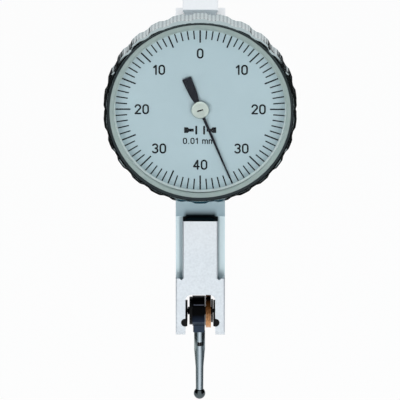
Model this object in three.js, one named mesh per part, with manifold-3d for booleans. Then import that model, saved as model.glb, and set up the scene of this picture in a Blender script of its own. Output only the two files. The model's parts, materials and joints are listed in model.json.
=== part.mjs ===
// A dial test indicator: a slim dovetailed frame, a round case with a turning
// bezel and dial, and a ball stylus whose swing a lever, a toothed sector, a
// crown wheel and a pinion multiply into turns of the pointer.
// Millimetres. The origin is the middle of the top dovetail's flat top face,
// the dial faces -Y, the stylus hangs down and +Z is up.

import * as THREE from "three";
import { mergeVertices } from "three/addons/utils/BufferGeometryUtils.js";
import Module from "manifold-3d";

const wasm = await Module();
wasm.setup();

// Clearances between pieces, how far a cut runs past the face it opens, and how
// close two corners lie to count as one.
const seat = 0.03;
const running = 0.05;
const overrun = 0.6;
const weld = 0.00001;

// Facets round a circle, by how large the circle is.
const wideFacets = 48;
const midFacets = 24;
const fineFacets = 10;

// The gauge itself: what one turn of the pointer means at the ball.
const gauge = {
  reach: 15,
  travelPerTurn: 0.8,
  ballRadius: 1,
};

// The frame: a bar with a dovetail on its top, front and back, and a fork below.
const frame = {
  width: 8.36,
  depth: 9,
  edge: 0.2,
  dovetailWidth: 6,
  dovetailHeight: 2.4,
  dovetailEdge: 0.22,
  dialDrop: 16,
  noseGap: 0.2,
  seatPlane: 2.6,
  seatRunOut: 0.7,
  seatToPad: 9.3,
  padLength: 11.9,
  cutterRadius: 1.6,
  slotAbovePivot: 4.4,
  slotWidth: 5.1,
  slotCorner: 1,
  pivotDrop: 55.1,
  legBelowPivot: 3.1,
  legRound: 1.2,
};
const dovetailFlank = Math.PI / 3;

// The channel inside the frame that the levers swing in.
const channel = {
  width: 4.4,
  front: 1.7,
  rear: 1.5,
  aboveCrown: 0.35,
  openBelowDial: 11.3,
};

// The rear cover, a plate that closes the channel and carries the rear dovetail.
const cover = {
  plane: 0.9,
  topDrop: 6,
  aboveSlot: 1.2,
  tab: 2.5,
};

// Screws: radius of the thread, of the head and the head's height.
const coverScrew = { radius: 0.4, head: 0.75, height: 0.45, depth: 1.2, inset: 1.25, spread: 2.9 };
const caseScrew = { radius: 0.45, head: 0.8, height: 0.5, depth: 1.9, spread: 3.15 };
const cockScrew = { radius: 0.3, head: 0.55, height: 0.35, depth: 0.8, spread: 1.1 };
const plateScrew = { radius: 0.4, head: 0.8, height: 0.45, depth: 1.4 };
const driverSlot = { width: 0.18, depth: 0.18 };

// The case: a stepped pot whose small end sits on the frame.
const pot = {
  bossStep: 3.2,
  stepPlane: 4.75,
  dialLedge: 0.7,
  wall: 0.8,
  floor: 0.6,
  mouthPlane: 8.3,
  fillet: 0.5,
  windowBelowDial: 8.2,
  screwToWall: 0.74,
};

// The spring ring that holds the bezel on the case and gives it its drag.
const ring = {
  plane: 7.05,
  height: 0.5,
  depth: 0.34,
  proud: 0.3,
  gap: 3,
  slack: 0.09,
};

// The bezel, with its raised lobes.
const bezel = {
  rim: 0.85,
  lobeHeight: 0.25,
  lobes: 26,
  rearPlane: 6.3,
  lipPlane: 10.5,
  sidePlane: 10.1,
  chamfer: 0.7,
  lobeInset: 0.7,
  play: 0.18,
};
const lobeBaseShare = 0.62;
const lobeTopShare = 0.5;

// The dial and the crystal in front of it.
const dial = {
  plane: 9.1,
  thickness: 0.4,
  hole: 0.8,
};
const crystal = {
  radius: 15.4,
  flat: 0.28,
  bevelWidth: 1,
  bevelPlane: 10.9,
  crown: 0.28,
  wall: 0.85,
  foot: 0.95,
};
const crownShares = [0, 0.35, 0.68, 1];
const socketShares = [1, 0.6, 0];

// The gear train. Radii are pitch radii.
const train = {
  sectorRadius: 15,
  crownPinionRadius: 1,
  crownRadius: 2.7,
  arborPlane: 1.6,
  addendum: 0.17,
  dedendum: 0.25,
  fineAddendum: 0.09,
  fineDedendum: 0.14,
};
const crownPinionTeeth = 10;
const crownTeeth = 40;
const pointerPinionTeeth = 10;
const toothTipShare = 0.24;
const toothRootShare = 0.46;
const sectorTeethBehind = 2;
const sectorTeethAhead = 4;

// The arbors that turn across the frame.
const arbor = {
  radius: 0.35,
  collar: 0.8,
  pivotRadius: 0.2,
  pivotLength: 0.5,
  endPlay: 0.05,
};
const bearing = {
  radius: 0.7,
  cupDepth: 0.62,
  inset: 0.12,
};

// Sector lever.
const sector = {
  thickness: 0.5,
  inner: 0.95,
  rim: 1.1,
  hub: 1.2,
  spoke: 0.75,
  armWidth: 1,
  forkHalf: 0.62,
  forkTail: 0.9,
};

// Crown wheel and its arbor.
const crown = {
  web: 0.6,
  lip: 0.1,
  faceWidth: 0.5,
  hub: 0.8,
  hubLength: 0.4,
  pinionLength: 1,
  pinionStart: 0.7,
  windows: 3,
  windowHalf: 0.4,
};

// Pointer arbor, its bearings and the cock and plate that hold them.
const pointer = {
  radius: 0.3,
  pivotRadius: 0.15,
  pinionLength: 0.6,
  bushRadius: 0.9,
  rearBushRadius: 0.34,
  handPlane: 9.4,
  handThickness: 0.12,
  toCrystal: 2.4,
  tail: 6,
  boss: 0.9,
  neckWidth: 0.43,
  tipWidth: 0.2,
  tailNeckWidth: 0.6,
  tailWidth: 1.45,
  tailFlare: 1.3,
  hubRadius: 1.5,
  hubThickness: 0.22,
  capRadius: 0.65,
  capHeight: 0.1,
  slotWidth: 0.14,
};
const restAngle = THREE.MathUtils.degToRad(157.5);
const cock = {
  thickness: 0.6,
  halfWidth: 1.9,
  topRise: 7.1,
  footRise: 3.8,
  stemHalf: 0.5,
  screwRise: 5.5,
};
const bridge = {
  thickness: 0.6,
  rearPlane: 5.6,
  overhang: 1.2,
  halfHeight: 1.5,
  discRadius: 3.6,
  pillarSpread: 6.4,
  pillarRadius: 0.95,
  stubRadius: 0.5,
};

// The hairspring, its collet and its stud.
const hairspring = {
  plane: 5.05,
  height: 0.3,
  thickness: 0.12,
  pitch: 0.55,
  colletRadius: 0.7,
  colletHeight: 0.5,
  start: 0.88,
  studRadius: 0.28,
};
const hairspringTurns = 3.25;

// The fork: contact lever, clutch, bearings and the black plates beside the legs.
const axle = {
  radius: 0.66,
  flangeRadius: 2.4,
  flangeInner: 1.41,
  flangeOuter: 1.87,
  pivotRadius: 0.34,
  pivotLength: 0.75,
};
const forkPlate = {
  thickness: 0.32,
  radius: 1.85,
  hole: 0.72,
  footRadius: 0.7,
  footBelowPivot: 0.62,
  footLength: 2,
  armHalf: 0.6,
};
const forkBearing = { radius: 0.95, cupDepth: 0.7, inset: 0.15 };
const motion = {
  inner: 0.92,
  outer: 1.8,
  radius: 2.9,
  armThickness: 0.5,
  armHalf: 0.55,
  armTipHalf: 0.5,
  pinRadius: 0.3,
  pinReach: 0.15,
};
const clutch = {
  washer: 0.1,
  washerRadius: 2.55,
  nutRadius: 2,
  nutThickness: 0.32,
};

// The stylus and the drum that clamps it.
const stylus = {
  leftBy: 0.15,
  drumRadius: 2.6,
  drumLeft: 1.36,
  stemWidth: 1.98,
  stemLeftBy: 0.24,
  stemLength: 3.6,
  edge: 0.15,
  threadRadius: 0.5,
  threadLength: 1.5,
  collarRadius: 0.95,
  collarLength: 3.45,
  flatHalf: 0.82,
  flatLength: 1.8,
  holeRadius: 0.36,
  holeDrop: 2.15,
  coneLength: 2.9,
  shaftRadius: 0.68,
  tipRadius: 0.64,
  ballGap: 0.03,
};

// Worked out from the sizes above.
const halfWidth = frame.width / 2;
const halfDepth = frame.depth / 2;
const shoulderPlane = halfDepth - frame.dovetailHeight;
const dovetailHalf = frame.dovetailWidth / 2;
const dovetailNeck = dovetailHalf - frame.dovetailHeight / Math.tan(dovetailFlank);
const channelHalf = channel.width / 2;
const slotHalf = frame.slotWidth / 2;
const potFloorPlane = frame.seatPlane + pot.floor;
const meshDistance = train.sectorRadius + train.crownPinionRadius;
const sectorPivotDrop = frame.dialDrop
  + Math.sqrt(meshDistance ** 2 - train.arborPlane ** 2);
const meshAngle = Math.asin(train.arborPlane / meshDistance);
const pointerPinionRadius = (train.crownRadius * pointerPinionTeeth) / crownTeeth;
const turnsRatio = (2 * Math.PI * gauge.reach) / gauge.travelPerTurn;
const gearRatio = (train.sectorRadius / train.crownPinionRadius)
  * (crownTeeth / pointerPinionTeeth);
const leverRatio = turnsRatio / gearRatio;
const leverSpan = frame.pivotDrop - sectorPivotDrop;
const sectorArm = leverSpan / (1 + leverRatio);
const contactArm = leverSpan - sectorArm;
const crownMeshPlane = train.arborPlane + train.crownRadius;
const plateInner = slotHalf - seat - forkPlate.thickness;
const frameLength = frame.pivotDrop + frame.legBelowPivot;
const slotDrop = frame.pivotDrop - frame.slotAbovePivot;
const coverBottomDrop = slotDrop - cover.aboveSlot;
const bezelRadius = crystal.radius + bezel.rim;
const bevelRadius = crystal.radius - crystal.bevelWidth;
const handLength = crystal.radius - pointer.toCrystal;
const potRadius = crystal.radius - pot.dialLedge;
const bossRadius = potRadius - pot.bossStep;
const bossInner = bossRadius - pot.wall;
const noseDrop = frame.dialDrop - bossRadius - frame.noseGap;
const seatDrop = frame.dialDrop + bossRadius + frame.seatRunOut;
const padDrop = seatDrop + frame.seatToPad;
const crownReach = train.crownRadius + crown.faceWidth / 2 + crown.lip;
const channelTopDrop = frame.dialDrop - crownReach - channel.aboveCrown;
const cockScrewDrop = frame.dialDrop - cock.screwRise;
const channelOpenDrop = frame.dialDrop + channel.openBelowDial;
const bridgeHalf = bridge.pillarSpread + bridge.overhang;
const caseScrewRing = bossInner - caseScrew.head - pot.screwToWall;
const caseScrewRise = Math.sqrt(caseScrewRing ** 2 - caseScrew.spread ** 2);

const finishes = {
  chrome: { color: 0xdfe6ea, roughness: 0.34, metalness: 0.85 },
  bezelChrome: { color: 0xcfd8dc, roughness: 0.12, metalness: 1 },
  dialSilver: { color: 0xb2c9cf, roughness: 0.45, metalness: 0.35 },
  clear: { color: 0xeaf1ec, roughness: 0.05, metalness: 0, transparent: true, opacity: 0.3 },
  ink: { color: 0x0d1420, roughness: 0.4, metalness: 0.2 },
  black: { color: 0x101114, roughness: 0.45, metalness: 0.4 },
  slate: { color: 0x2c3446, roughness: 0.4, metalness: 0.6 },
  bronze: { color: 0xc07a45, roughness: 0.35, metalness: 0.9 },
  brass: { color: 0xc9a65a, roughness: 0.3, metalness: 0.9 },
  steel: { color: 0xa9b0b6, roughness: 0.25, metalness: 0.95 },
  carbide: { color: 0x70787c, roughness: 0.2, metalness: 0.9 },
  jewel: { color: 0x9a1f3c, roughness: 0.15, metalness: 0 },
};
const materials = Object.fromEntries(
  Object.entries(finishes).map(([name, values]) => [name, new THREE.MeshStandardMaterial(values)]),
);

// Turns a closed three.js geometry into a solid that can be cut and joined.
function solid(geometry) {
  const bare = geometry.clone();
  bare.deleteAttribute("normal");
  bare.deleteAttribute("uv");
  const merged = mergeVertices(bare, weld);
  const place = merged.attributes.position;
  const corners = Array.from(merged.index.array);
  const triangles = [];
  let volume = 0;
  for (let i = 0; i < corners.length; i += 3) {
    const [a, b, c] = corners.slice(i, i + 3);
    if (a === b || b === c || c === a) continue;
    triangles.push(a, b, c);
    const [p, q, r] = [a, b, c].map((k) => new THREE.Vector3().fromBufferAttribute(place, k));
    volume += p.dot(q.cross(r));
  }
  if (volume < 0) {
    triangles.reverse();
  }
  return new wasm.Manifold(new wasm.Mesh({
    numProp: 3,
    vertProperties: new Float32Array(place.array),
    triVerts: new Uint32Array(triangles),
  }));
}

// Turns a solid back into a geometry with flat faces.
function surface(body) {
  const { vertProperties, triVerts } = body.getMesh();
  const geometry = new THREE.BufferGeometry();
  geometry.setAttribute("position", new THREE.Float32BufferAttribute(vertProperties, 3));
  geometry.setIndex(Array.from(triVerts));
  return geometry;
}

const cut = (body, ...tools) => tools.flat().reduce((rest, tool) => rest.subtract(tool), body);
const join = (body, ...more) => more.flat().reduce((whole, piece) => whole.add(piece), body);

// A block between two corners, each pair given as low and high.
function block([x0, x1], [y0, y1], [z0, z1]) {
  const box = new THREE.BoxGeometry(x1 - x0, y1 - y0, z1 - z0);
  box.translate((x0 + x1) / 2, (y0 + y1) / 2, (z0 + z1) / 2);
  return solid(box);
}

function extruded(points, depth) {
  const shape = new THREE.Shape(points.map(([u, v]) => new THREE.Vector2(u, v)));
  return new THREE.ExtrudeGeometry(shape, { depth, bevelEnabled: false, steps: 1 });
}

// Prisms: an outline pushed along one axis, from one plane to another.
function prismX(points, x0, x1) {
  const prism = extruded(points, x1 - x0);
  prism.applyMatrix4(new THREE.Matrix4().makeBasis(
    new THREE.Vector3(0, 1, 0), new THREE.Vector3(0, 0, 1), new THREE.Vector3(1, 0, 0),
  ));
  prism.translate(x0, 0, 0);
  return solid(prism);
}

function prismY(points, y0, y1) {
  const prism = extruded(points, y1 - y0);
  prism.rotateX(Math.PI / 2);
  prism.translate(0, y1, 0);
  return solid(prism);
}

function prismZ(points, z0, z1) {
  const prism = extruded(points, z1 - z0);
  prism.translate(0, 0, z0);
  return solid(prism);
}

// Turned pieces: a profile of radius and height, spun about one axis.
function turned(profile, facets) {
  return new THREE.LatheGeometry(profile.map(([r, h]) => new THREE.Vector2(r, h)), facets);
}

function turnedX(profile, facets = fineFacets, [y, z] = [0, 0]) {
  return solid(turned(profile, facets).rotateZ(-Math.PI / 2).translate(0, y, z));
}

function turnedY(profile, facets = fineFacets, [x, z] = [0, 0]) {
  return solid(turned(profile, facets).translate(x, 0, z));
}

function turnedZ(profile, facets = fineFacets, [x, y] = [0, 0]) {
  return solid(turned(profile, facets).rotateX(Math.PI / 2).translate(x, y, 0));
}

const rod = (radius, from, to) => [[0, from], [radius, from], [radius, to], [0, to]];
const tube = (inner, outer, from, to) => [
  [inner, from], [outer, from], [outer, to], [inner, to], [inner, from],
];

// A closed wheel outline with straight-sided teeth; a tooth points along `phase`.
function toothedOutline(teeth, pitchRadius, addendum, dedendum, phase) {
  const step = (2 * Math.PI) / teeth;
  const points = [];
  for (let i = 0; i < teeth; i += 1) {
    const middle = phase + i * step;
    const corners = [
      [-toothRootShare / 2, pitchRadius - dedendum],
      [-toothTipShare / 2, pitchRadius + addendum],
      [toothTipShare / 2, pitchRadius + addendum],
      [toothRootShare / 2, pitchRadius - dedendum],
    ];
    for (const [turn, radius] of corners) {
      const angle = middle + turn * step;
      points.push([radius * Math.cos(angle), radius * Math.sin(angle)]);
    }
  }
  return points;
}

const indicator = new THREE.Group();

function add(name, body, material, group = indicator) {
  const mesh = new THREE.Mesh(surface(body), materials[material]);
  mesh.name = name;
  group.add(mesh);
  return mesh;
}

function unit(x, y, z, parent = indicator) {
  const group = new THREE.Group();
  group.position.set(x, y, z);
  parent.add(group);
  return group;
}

// A slotted screw along Y whose head's underside is at y = 0 and whose thread
// runs to +Y; a flat head is sunk with its top at y = 0 instead.
function screw(size, threadLength, sunk) {
  const profile = sunk
    ? [
      [0, 0], [size.head, 0], [size.radius, size.height],
      [size.radius, threadLength], [0, threadLength],
    ]
    : [
      [0, -size.height], [size.head, -size.height], [size.head, 0],
      [size.radius, 0], [size.radius, threadLength], [0, threadLength],
    ];
  const top = sunk ? 0 : -size.height;
  const half = driverSlot.width / 2;
  const slot = block(
    [-size.head - overrun, size.head + overrun],
    [top - overrun, top + driverSlot.depth],
    [-half, half],
  );
  return cut(turnedY(profile), slot);
}

// The dovetail's section, as a half width at each height from its root, with a
// foot that reaches into the metal it grows from.
const dovetailSection = [
  [-dovetailNeck, -overrun],
  [-dovetailNeck, 0],
  [-dovetailHalf, frame.dovetailHeight - frame.dovetailEdge],
  [-dovetailHalf + frame.dovetailEdge, frame.dovetailHeight],
  [dovetailHalf - frame.dovetailEdge, frame.dovetailHeight],
  [dovetailHalf, frame.dovetailHeight - frame.dovetailEdge],
  [dovetailNeck, 0],
  [dovetailNeck, -overrun],
];

// One side groove of the front dovetail, with the round end its cutter leaves.
function frontGroove(side) {
  const top = -padDrop + overrun;
  const bottom = -padDrop - frame.padLength + frame.cutterRadius;
  const outer = halfWidth + overrun;
  const section = [
    [side * dovetailNeck, -shoulderPlane],
    [side * dovetailHalf, -halfDepth + frame.dovetailEdge],
    [side * (dovetailHalf - frame.dovetailEdge), -halfDepth],
    [side * (dovetailHalf - frame.dovetailEdge), -halfDepth - overrun],
    [side * outer, -halfDepth - overrun],
    [side * outer, -shoulderPlane],
  ];
  const flank = frame.cutterRadius - (dovetailHalf - dovetailNeck);
  const cutter = turnedY([
    [0, -halfDepth - overrun], [flank, -halfDepth - overrun], [flank, -halfDepth],
    [frame.cutterRadius, -shoulderPlane], [0, -shoulderPlane],
  ], midFacets, [side * (dovetailNeck + frame.cutterRadius), bottom]);
  return [prismZ(side < 0 ? section : section.reverse(), bottom, top), cutter];
}

function barOutline(reach) {
  const e = frame.edge;
  return [
    [-halfWidth, -halfDepth + e], [-halfWidth + e, -halfDepth],
    [halfWidth - e, -halfDepth], [halfWidth, -halfDepth + e],
    [halfWidth, reach - e], [halfWidth - e, reach],
    [-halfWidth + e, reach], [-halfWidth, reach - e],
  ];
}

// The round corners of the legs' ends, seen from the side.
function legEnd(face) {
  const r = frame.legRound;
  const centre = [face * (halfDepth - r), -frameLength + r];
  const steps = 5;
  const arc = Array.from({ length: steps + 1 }, (_, i) => {
    const angle = (i / steps) * (Math.PI / 2);
    return [centre[0] + face * r * Math.cos(angle), centre[1] - r * Math.sin(angle)];
  });
  const corner = [
    [face * (halfDepth + overrun), -frameLength + r],
    ...arc,
    [centre[0], -frameLength - overrun],
    [face * (halfDepth + overrun), -frameLength - overrun],
  ];
  return prismX(corner, -halfWidth - overrun, halfWidth + overrun);
}

function forkSlot() {
  const r = frame.slotCorner;
  const top = -slotDrop;
  const steps = 4;
  const arc = (side) => Array.from({ length: steps + 1 }, (_, i) => {
    const angle = (i / steps) * (Math.PI / 2);
    return [side * (slotHalf - r + r * Math.cos(angle)), top - r + r * Math.sin(angle)];
  });
  const outline = [
    [-slotHalf, -frameLength - overrun], ...arc(-1), ...arc(1).reverse(),
    [slotHalf, -frameLength - overrun],
  ];
  return prismY(outline, -halfDepth - overrun, halfDepth + overrun);
}

// Screw places, each as x, z and a name's ending.
const corners = [
  ["upper_left", -1, 1], ["upper_right", 1, 1],
  ["lower_left", -1, -1], ["lower_right", 1, -1],
];
const coverScrewMiddle = (cover.topDrop + coverBottomDrop) / 2;
const coverScrewRise = (coverBottomDrop - cover.topDrop) / 2 - coverScrew.inset;
const coverScrewPlaces = corners.map(([end, side, level]) => (
  [end, side * coverScrew.spread, -coverScrewMiddle + level * coverScrewRise]
));
const caseScrewPlaces = corners.map(([end, side, level]) => (
  [end, side * caseScrew.spread, -frame.dialDrop + level * caseScrewRise]
));
const cockScrewPlaces = [["left", -cockScrew.spread], ["right", cockScrew.spread]];

function threadHole(size, x, z, from, to) {
  return turnedY(rod(size.radius + seat, from, to), fineFacets, [x, z]);
}

function bodyFrame() {
  const across = [-halfWidth - overrun, halfWidth + overrun];
  const ahead = -halfDepth - overrun;
  const behind = halfDepth + overrun;
  const bar = prismZ(barOutline(halfDepth), -frameLength, -frame.dovetailHeight);
  const root = -frame.dovetailHeight;
  const topDovetail = prismY(
    dovetailSection.map(([x, h]) => [x, root + h]).reverse(), -halfDepth, halfDepth,
  );
  const shaft = join(bar, topDovetail);
  const wallHole = (radius, y, drop) => turnedX(
    rod(radius + seat, -halfWidth - overrun, halfWidth + overrun), fineFacets, [y, -drop],
  );
  const notch = (side) => turnedY(
    rod(forkPlate.footRadius + seat, ahead, -halfDepth + forkPlate.footLength + seat),
    midFacets,
    [side * slotHalf, -frame.pivotDrop - forkPlate.footBelowPivot],
  );
  return cut(
    shaft,
    block(across, [ahead, -frame.seatPlane], [-seatDrop, -noseDrop]),
    block(across, [ahead, -shoulderPlane], [-padDrop, -seatDrop]),
    frontGroove(-1),
    frontGroove(1),
    block(across, [cover.plane, behind], [-coverBottomDrop, -cover.topDrop]),
    block(
      [-channelHalf, channelHalf],
      [-channel.front, channel.rear],
      [-slotDrop - overrun, -channelTopDrop],
    ),
    block([-channelHalf, channelHalf], [ahead, 0], [-channelOpenDrop, -channelTopDrop]),
    forkSlot(),
    legEnd(-1),
    legEnd(1),
    notch(-1),
    notch(1),
    wallHole(forkBearing.radius, 0, frame.pivotDrop),
    wallHole(bearing.radius, 0, sectorPivotDrop),
    wallHole(bearing.radius, -train.arborPlane, frame.dialDrop),
    coverScrewPlaces.map(([, x, z]) => (
      threadHole(coverScrew, x, z, cover.plane - coverScrew.depth - seat, cover.plane + overrun)
    )),
    caseScrewPlaces.map(([, x, z]) => (
      threadHole(caseScrew, x, z, ahead, -frame.seatPlane + caseScrew.depth + seat)
    )),
    cockScrewPlaces.map(([, x]) => (
      threadHole(cockScrew, x, -cockScrewDrop, ahead, -frame.seatPlane + cockScrew.depth + seat)
    )),
  );
}

function rearCover() {
  const top = -cover.topDrop - seat;
  const bottom = -coverBottomDrop + seat;
  const front = cover.plane + seat;
  const e = frame.edge;
  const plate = prismZ([
    [-halfWidth, front], [halfWidth, front], [halfWidth, shoulderPlane - e],
    [halfWidth - e, shoulderPlane], [-halfWidth + e, shoulderPlane], [-halfWidth, shoulderPlane - e],
  ], bottom, top);
  const dovetail = prismZ(
    dovetailSection.map(([x, h]) => [x, shoulderPlane + h]).reverse(),
    bottom + cover.tab,
    top - cover.tab,
  );
  const pocket = block(
    [-channelHalf, channelHalf], [front - overrun, channel.rear], [bottom - overrun, -channelTopDrop],
  );
  const holes = coverScrewPlaces.map(([, x, z]) => turnedY([
    [0, front - overrun], [coverScrew.radius + seat, front - overrun],
    [coverScrew.radius + seat, shoulderPlane - coverScrew.height],
    [coverScrew.head + seat, shoulderPlane], [coverScrew.head + seat, shoulderPlane + overrun],
    [0, shoulderPlane + overrun],
  ], fineFacets, [x, z]));
  return cut(join(plate, dovetail), pocket, holes);
}

add("body_frame", bodyFrame(), "chrome");
add("rear_cover", rearCover(), "chrome");
for (const [end, x, z] of coverScrewPlaces) {
  const length = shoulderPlane - cover.plane + coverScrew.depth;
  const place = unit(x, shoulderPlane, z);
  add(`cover_screw_${end}`, screw(coverScrew, length, true), "steel", place).rotation.x = Math.PI;
}

// Everything on the dial's axis is built about that axis.
const dialUnit = unit(0, 0, -frame.dialDrop);

function caseCup() {
  const floor = -frame.seatPlane;
  const step = -pot.stepPlane;
  const mouth = -pot.mouthPlane;
  const inner = potRadius - pot.wall;
  const f = pot.fillet;
  const grooveFoot = potRadius - ring.depth;
  const grooveFront = -ring.plane - ring.height - seat;
  const grooveRear = -ring.plane + seat;
  const shell = turnedY([
    [0, floor], [bossRadius - f, floor], [bossRadius, floor - f],
    [bossRadius, step],
    [potRadius - f, step], [potRadius, step - f],
    [potRadius, grooveRear], [grooveFoot, grooveRear],
    [grooveFoot, grooveFront], [potRadius, grooveFront],
    [potRadius, mouth], [inner, mouth], [inner, step - pot.floor],
    [bossInner, step - pot.floor], [bossInner, floor - pot.floor], [0, floor - pot.floor],
  ], wideFacets);
  const window = block(
    [-channelHalf, channelHalf],
    [-potFloorPlane - overrun, floor + overrun],
    [-pot.windowBelowDial, frame.dialDrop - channelTopDrop],
  );
  const through = (size, x, z) => threadHole(
    size, x, z + frame.dialDrop, -potFloorPlane - overrun, floor + overrun,
  );
  const pillars = [-1, 1].map((side) => turnedY(
    rod(bridge.stubRadius + seat, -potFloorPlane - overrun, floor + overrun),
    fineFacets,
    [side * bridge.pillarSpread, 0],
  ));
  return cut(
    shell,
    window,
    caseScrewPlaces.map(([, x, z]) => through(caseScrew, x, z)),
    cockScrewPlaces.map(([, x]) => through(cockScrew, x, -cockScrewDrop)),
    pillars,
  );
}

add("case_cup", caseCup(), "chrome", dialUnit);
for (const [end, x, z] of caseScrewPlaces) {
  const length = pot.floor + caseScrew.depth;
  const place = unit(x, -potFloorPlane - seat, z);
  add(`case_screw_${end}`, screw(caseScrew, length, false), "steel", place);
}

function frictionRing() {
  const inner = potRadius - ring.depth + seat;
  const outer = potRadius + ring.proud;
  const whole = turnedY(
    tube(inner, outer, -ring.plane - ring.height, -ring.plane), wideFacets,
  );
  const gap = block(
    [-ring.gap / 2, ring.gap / 2],
    [-ring.plane - ring.height - overrun, -ring.plane + overrun],
    [-outer - overrun, 0],
  );
  return cut(whole, gap);
}

add("bezel_friction_ring", frictionRing(), "steel", dialUnit);

// The cock carries the pointer arbor's rear pivot; it stands on the case floor.
function pointerCock() {
  const front = -potFloorPlane - seat - cock.thickness;
  const rear = -potFloorPlane - seat;
  const head = cock.topRise;
  const foot = cock.footRise;
  const plate = prismY([
    [-cock.halfWidth, foot], [-cock.stemHalf, foot], [-cock.stemHalf, 0],
    [cock.stemHalf, 0], [cock.stemHalf, foot], [cock.halfWidth, foot],
    [cock.halfWidth, head], [-cock.halfWidth, head],
  ], front, rear);
  const end = turnedY(rod(cock.stemHalf, front, rear), midFacets);
  const bore = turnedY(rod(pointer.rearBushRadius + seat, front - overrun, rear + overrun));
  const holes = cockScrewPlaces.map(([, x]) => threadHole(
    cockScrew, x, cock.screwRise, front - overrun, rear + overrun,
  ));
  return cut(join(plate, end), bore, holes);
}

const cockFront = potFloorPlane + seat + cock.thickness;
add("pointer_cock", pointerCock(), "brass", dialUnit);
for (const [side, x] of cockScrewPlaces) {
  const length = pot.floor + seat + cock.thickness + cockScrew.depth;
  add(
    `cock_screw_${side}`, screw(cockScrew, length, false), "steel",
    unit(x, -cockFront - seat, -cockScrewDrop),
  );
}

// The movement plate in front of the hairspring, on two pillars.
function movementPlate() {
  const front = -bridge.rearPlane - bridge.thickness;
  const rear = -bridge.rearPlane;
  const bar = block(
    [-bridgeHalf + bridge.halfHeight, bridgeHalf - bridge.halfHeight],
    [front, rear],
    [-bridge.halfHeight, bridge.halfHeight],
  );
  const ends = [-1, 1].map((side) => turnedY(
    rod(bridge.halfHeight, front, rear), midFacets, [side * (bridgeHalf - bridge.halfHeight), 0],
  ));
  const disc = turnedY(rod(bridge.discRadius, front, rear), midFacets);
  const bore = turnedY(rod(pointer.bushRadius + seat, front - overrun, rear + overrun));
  const holes = [-1, 1].map((side) => threadHole(
    plateScrew, side * bridge.pillarSpread, 0, front - overrun, rear + overrun,
  ));
  return cut(join(bar, ends, disc), bore, holes);
}

add("movement_plate", movementPlate(), "brass", dialUnit);
for (const [name, side] of [["left", -1], ["right", 1]]) {
  const x = side * bridge.pillarSpread;
  const front = -bridge.rearPlane + seat;
  const base = -potFloorPlane - seat;
  const hole = plateScrew.radius + seat;
  const bottom = -bridge.rearPlane - bridge.thickness + plateScrew.depth;
  const pillar = turnedY([
    [hole, front], [bridge.pillarRadius, front], [bridge.pillarRadius, base],
    [bridge.stubRadius, base], [bridge.stubRadius, -frame.seatPlane - seat],
    [0, -frame.seatPlane - seat], [0, bottom], [hole, bottom], [hole, front],
  ]);
  const place = unit(x, 0, 0, dialUnit);
  add(`plate_pillar_${name}`, pillar, "brass", place);
  const head = unit(0, -bridge.rearPlane - bridge.thickness - seat, 0, place);
  add(`plate_screw_${name}`, screw(plateScrew, plateScrew.depth, false), "steel", head);
}

// Bushes of the pointer arbor.
add("pointer_bearing_rear", turnedY(tube(
  pointer.pivotRadius + running, pointer.rearBushRadius,
  -cockFront, -potFloorPlane - seat,
)), "jewel", dialUnit);
add("pointer_bearing_front", turnedY(tube(
  pointer.radius + running, pointer.bushRadius,
  -bridge.rearPlane - bridge.thickness, -bridge.rearPlane,
)), "jewel", dialUnit);

// The bezel with its lobes, and what turns with it.
function bezelRing() {
  const core = bezelRadius - bezel.lobeHeight;
  const bore = potRadius + bezel.play;
  const counterbore = crystal.radius + seat;
  const ledge = -dial.plane + dial.thickness + seat;
  const groove = potRadius + ring.proud + ring.slack;
  const rear = -bezel.rearPlane;
  const lip = -bezel.lipPlane;
  const body = turnedY([
    [bore, rear], [core - bezel.chamfer, rear], [core, rear - bezel.chamfer],
    [core, -bezel.sidePlane], [counterbore, lip], [counterbore, ledge], [bore, ledge],
    [bore, -ring.plane - ring.height - seat], [groove, -ring.plane - ring.height - seat],
    [groove, -ring.plane + seat], [bore, -ring.plane + seat], [bore, rear],
  ], wideFacets);
  const step = (2 * Math.PI) / bezel.lobes;
  const foot = core - bezel.lobeHeight;
  const front = -bezel.sidePlane + bezel.lobeInset / 2;
  const back = rear - bezel.lobeInset;
  const lobes = [];
  for (let i = 0; i < bezel.lobes; i += 1) {
    const middle = i * step;
    const point = (radius, share) => {
      const angle = middle + (share * step) / 2;
      return [radius * Math.sin(angle), radius * Math.cos(angle)];
    };
    const outline = [
      point(foot, -lobeBaseShare), point(core, -lobeBaseShare), point(bezelRadius, -lobeTopShare),
      point(bezelRadius, 0), point(bezelRadius, lobeTopShare), point(core, lobeBaseShare),
      point(foot, lobeBaseShare),
    ];
    lobes.push(prismY(outline.reverse(), front, back));
  }
  return join(body, lobes);
}

function crystalDome() {
  const base = -dial.plane - seat;
  const side = -bezel.lipPlane - crystal.flat / 2;
  const under = crystal.radius - crystal.foot;
  const outer = crownShares.map((share) => [
    bevelRadius * (1 - share),
    -crystal.bevelPlane - crystal.crown * (1 - (1 - share) ** 2),
  ]);
  const inner = crownShares.map((share) => [
    (under - crystal.foot / 2) * (1 - share),
    -crystal.bevelPlane + crystal.wall - crystal.crown * (1 - (1 - share) ** 2),
  ]).reverse();
  return turnedY([
    ...outer.reverse(), [crystal.radius, side], [crystal.radius, base], [under, base],
    [under, -crystal.bevelPlane + crystal.wall + crystal.crown],
    ...inner.reverse(),
  ], wideFacets);
}

const bezelUnit = unit(0, 0, 0, dialUnit);
add("bezel_ring", bezelRing(), "bezelChrome", bezelUnit);
add("dial_plate", turnedY(
  tube(dial.hole, crystal.radius, -dial.plane, -dial.plane + dial.thickness), wideFacets,
), "dialSilver", bezelUnit);
add("crystal", crystalDome(), "clear", bezelUnit);

// The pointer arbor with its pinion, and what it carries.
const pointerUnit = unit(0, 0, 0, dialUnit);

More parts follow.
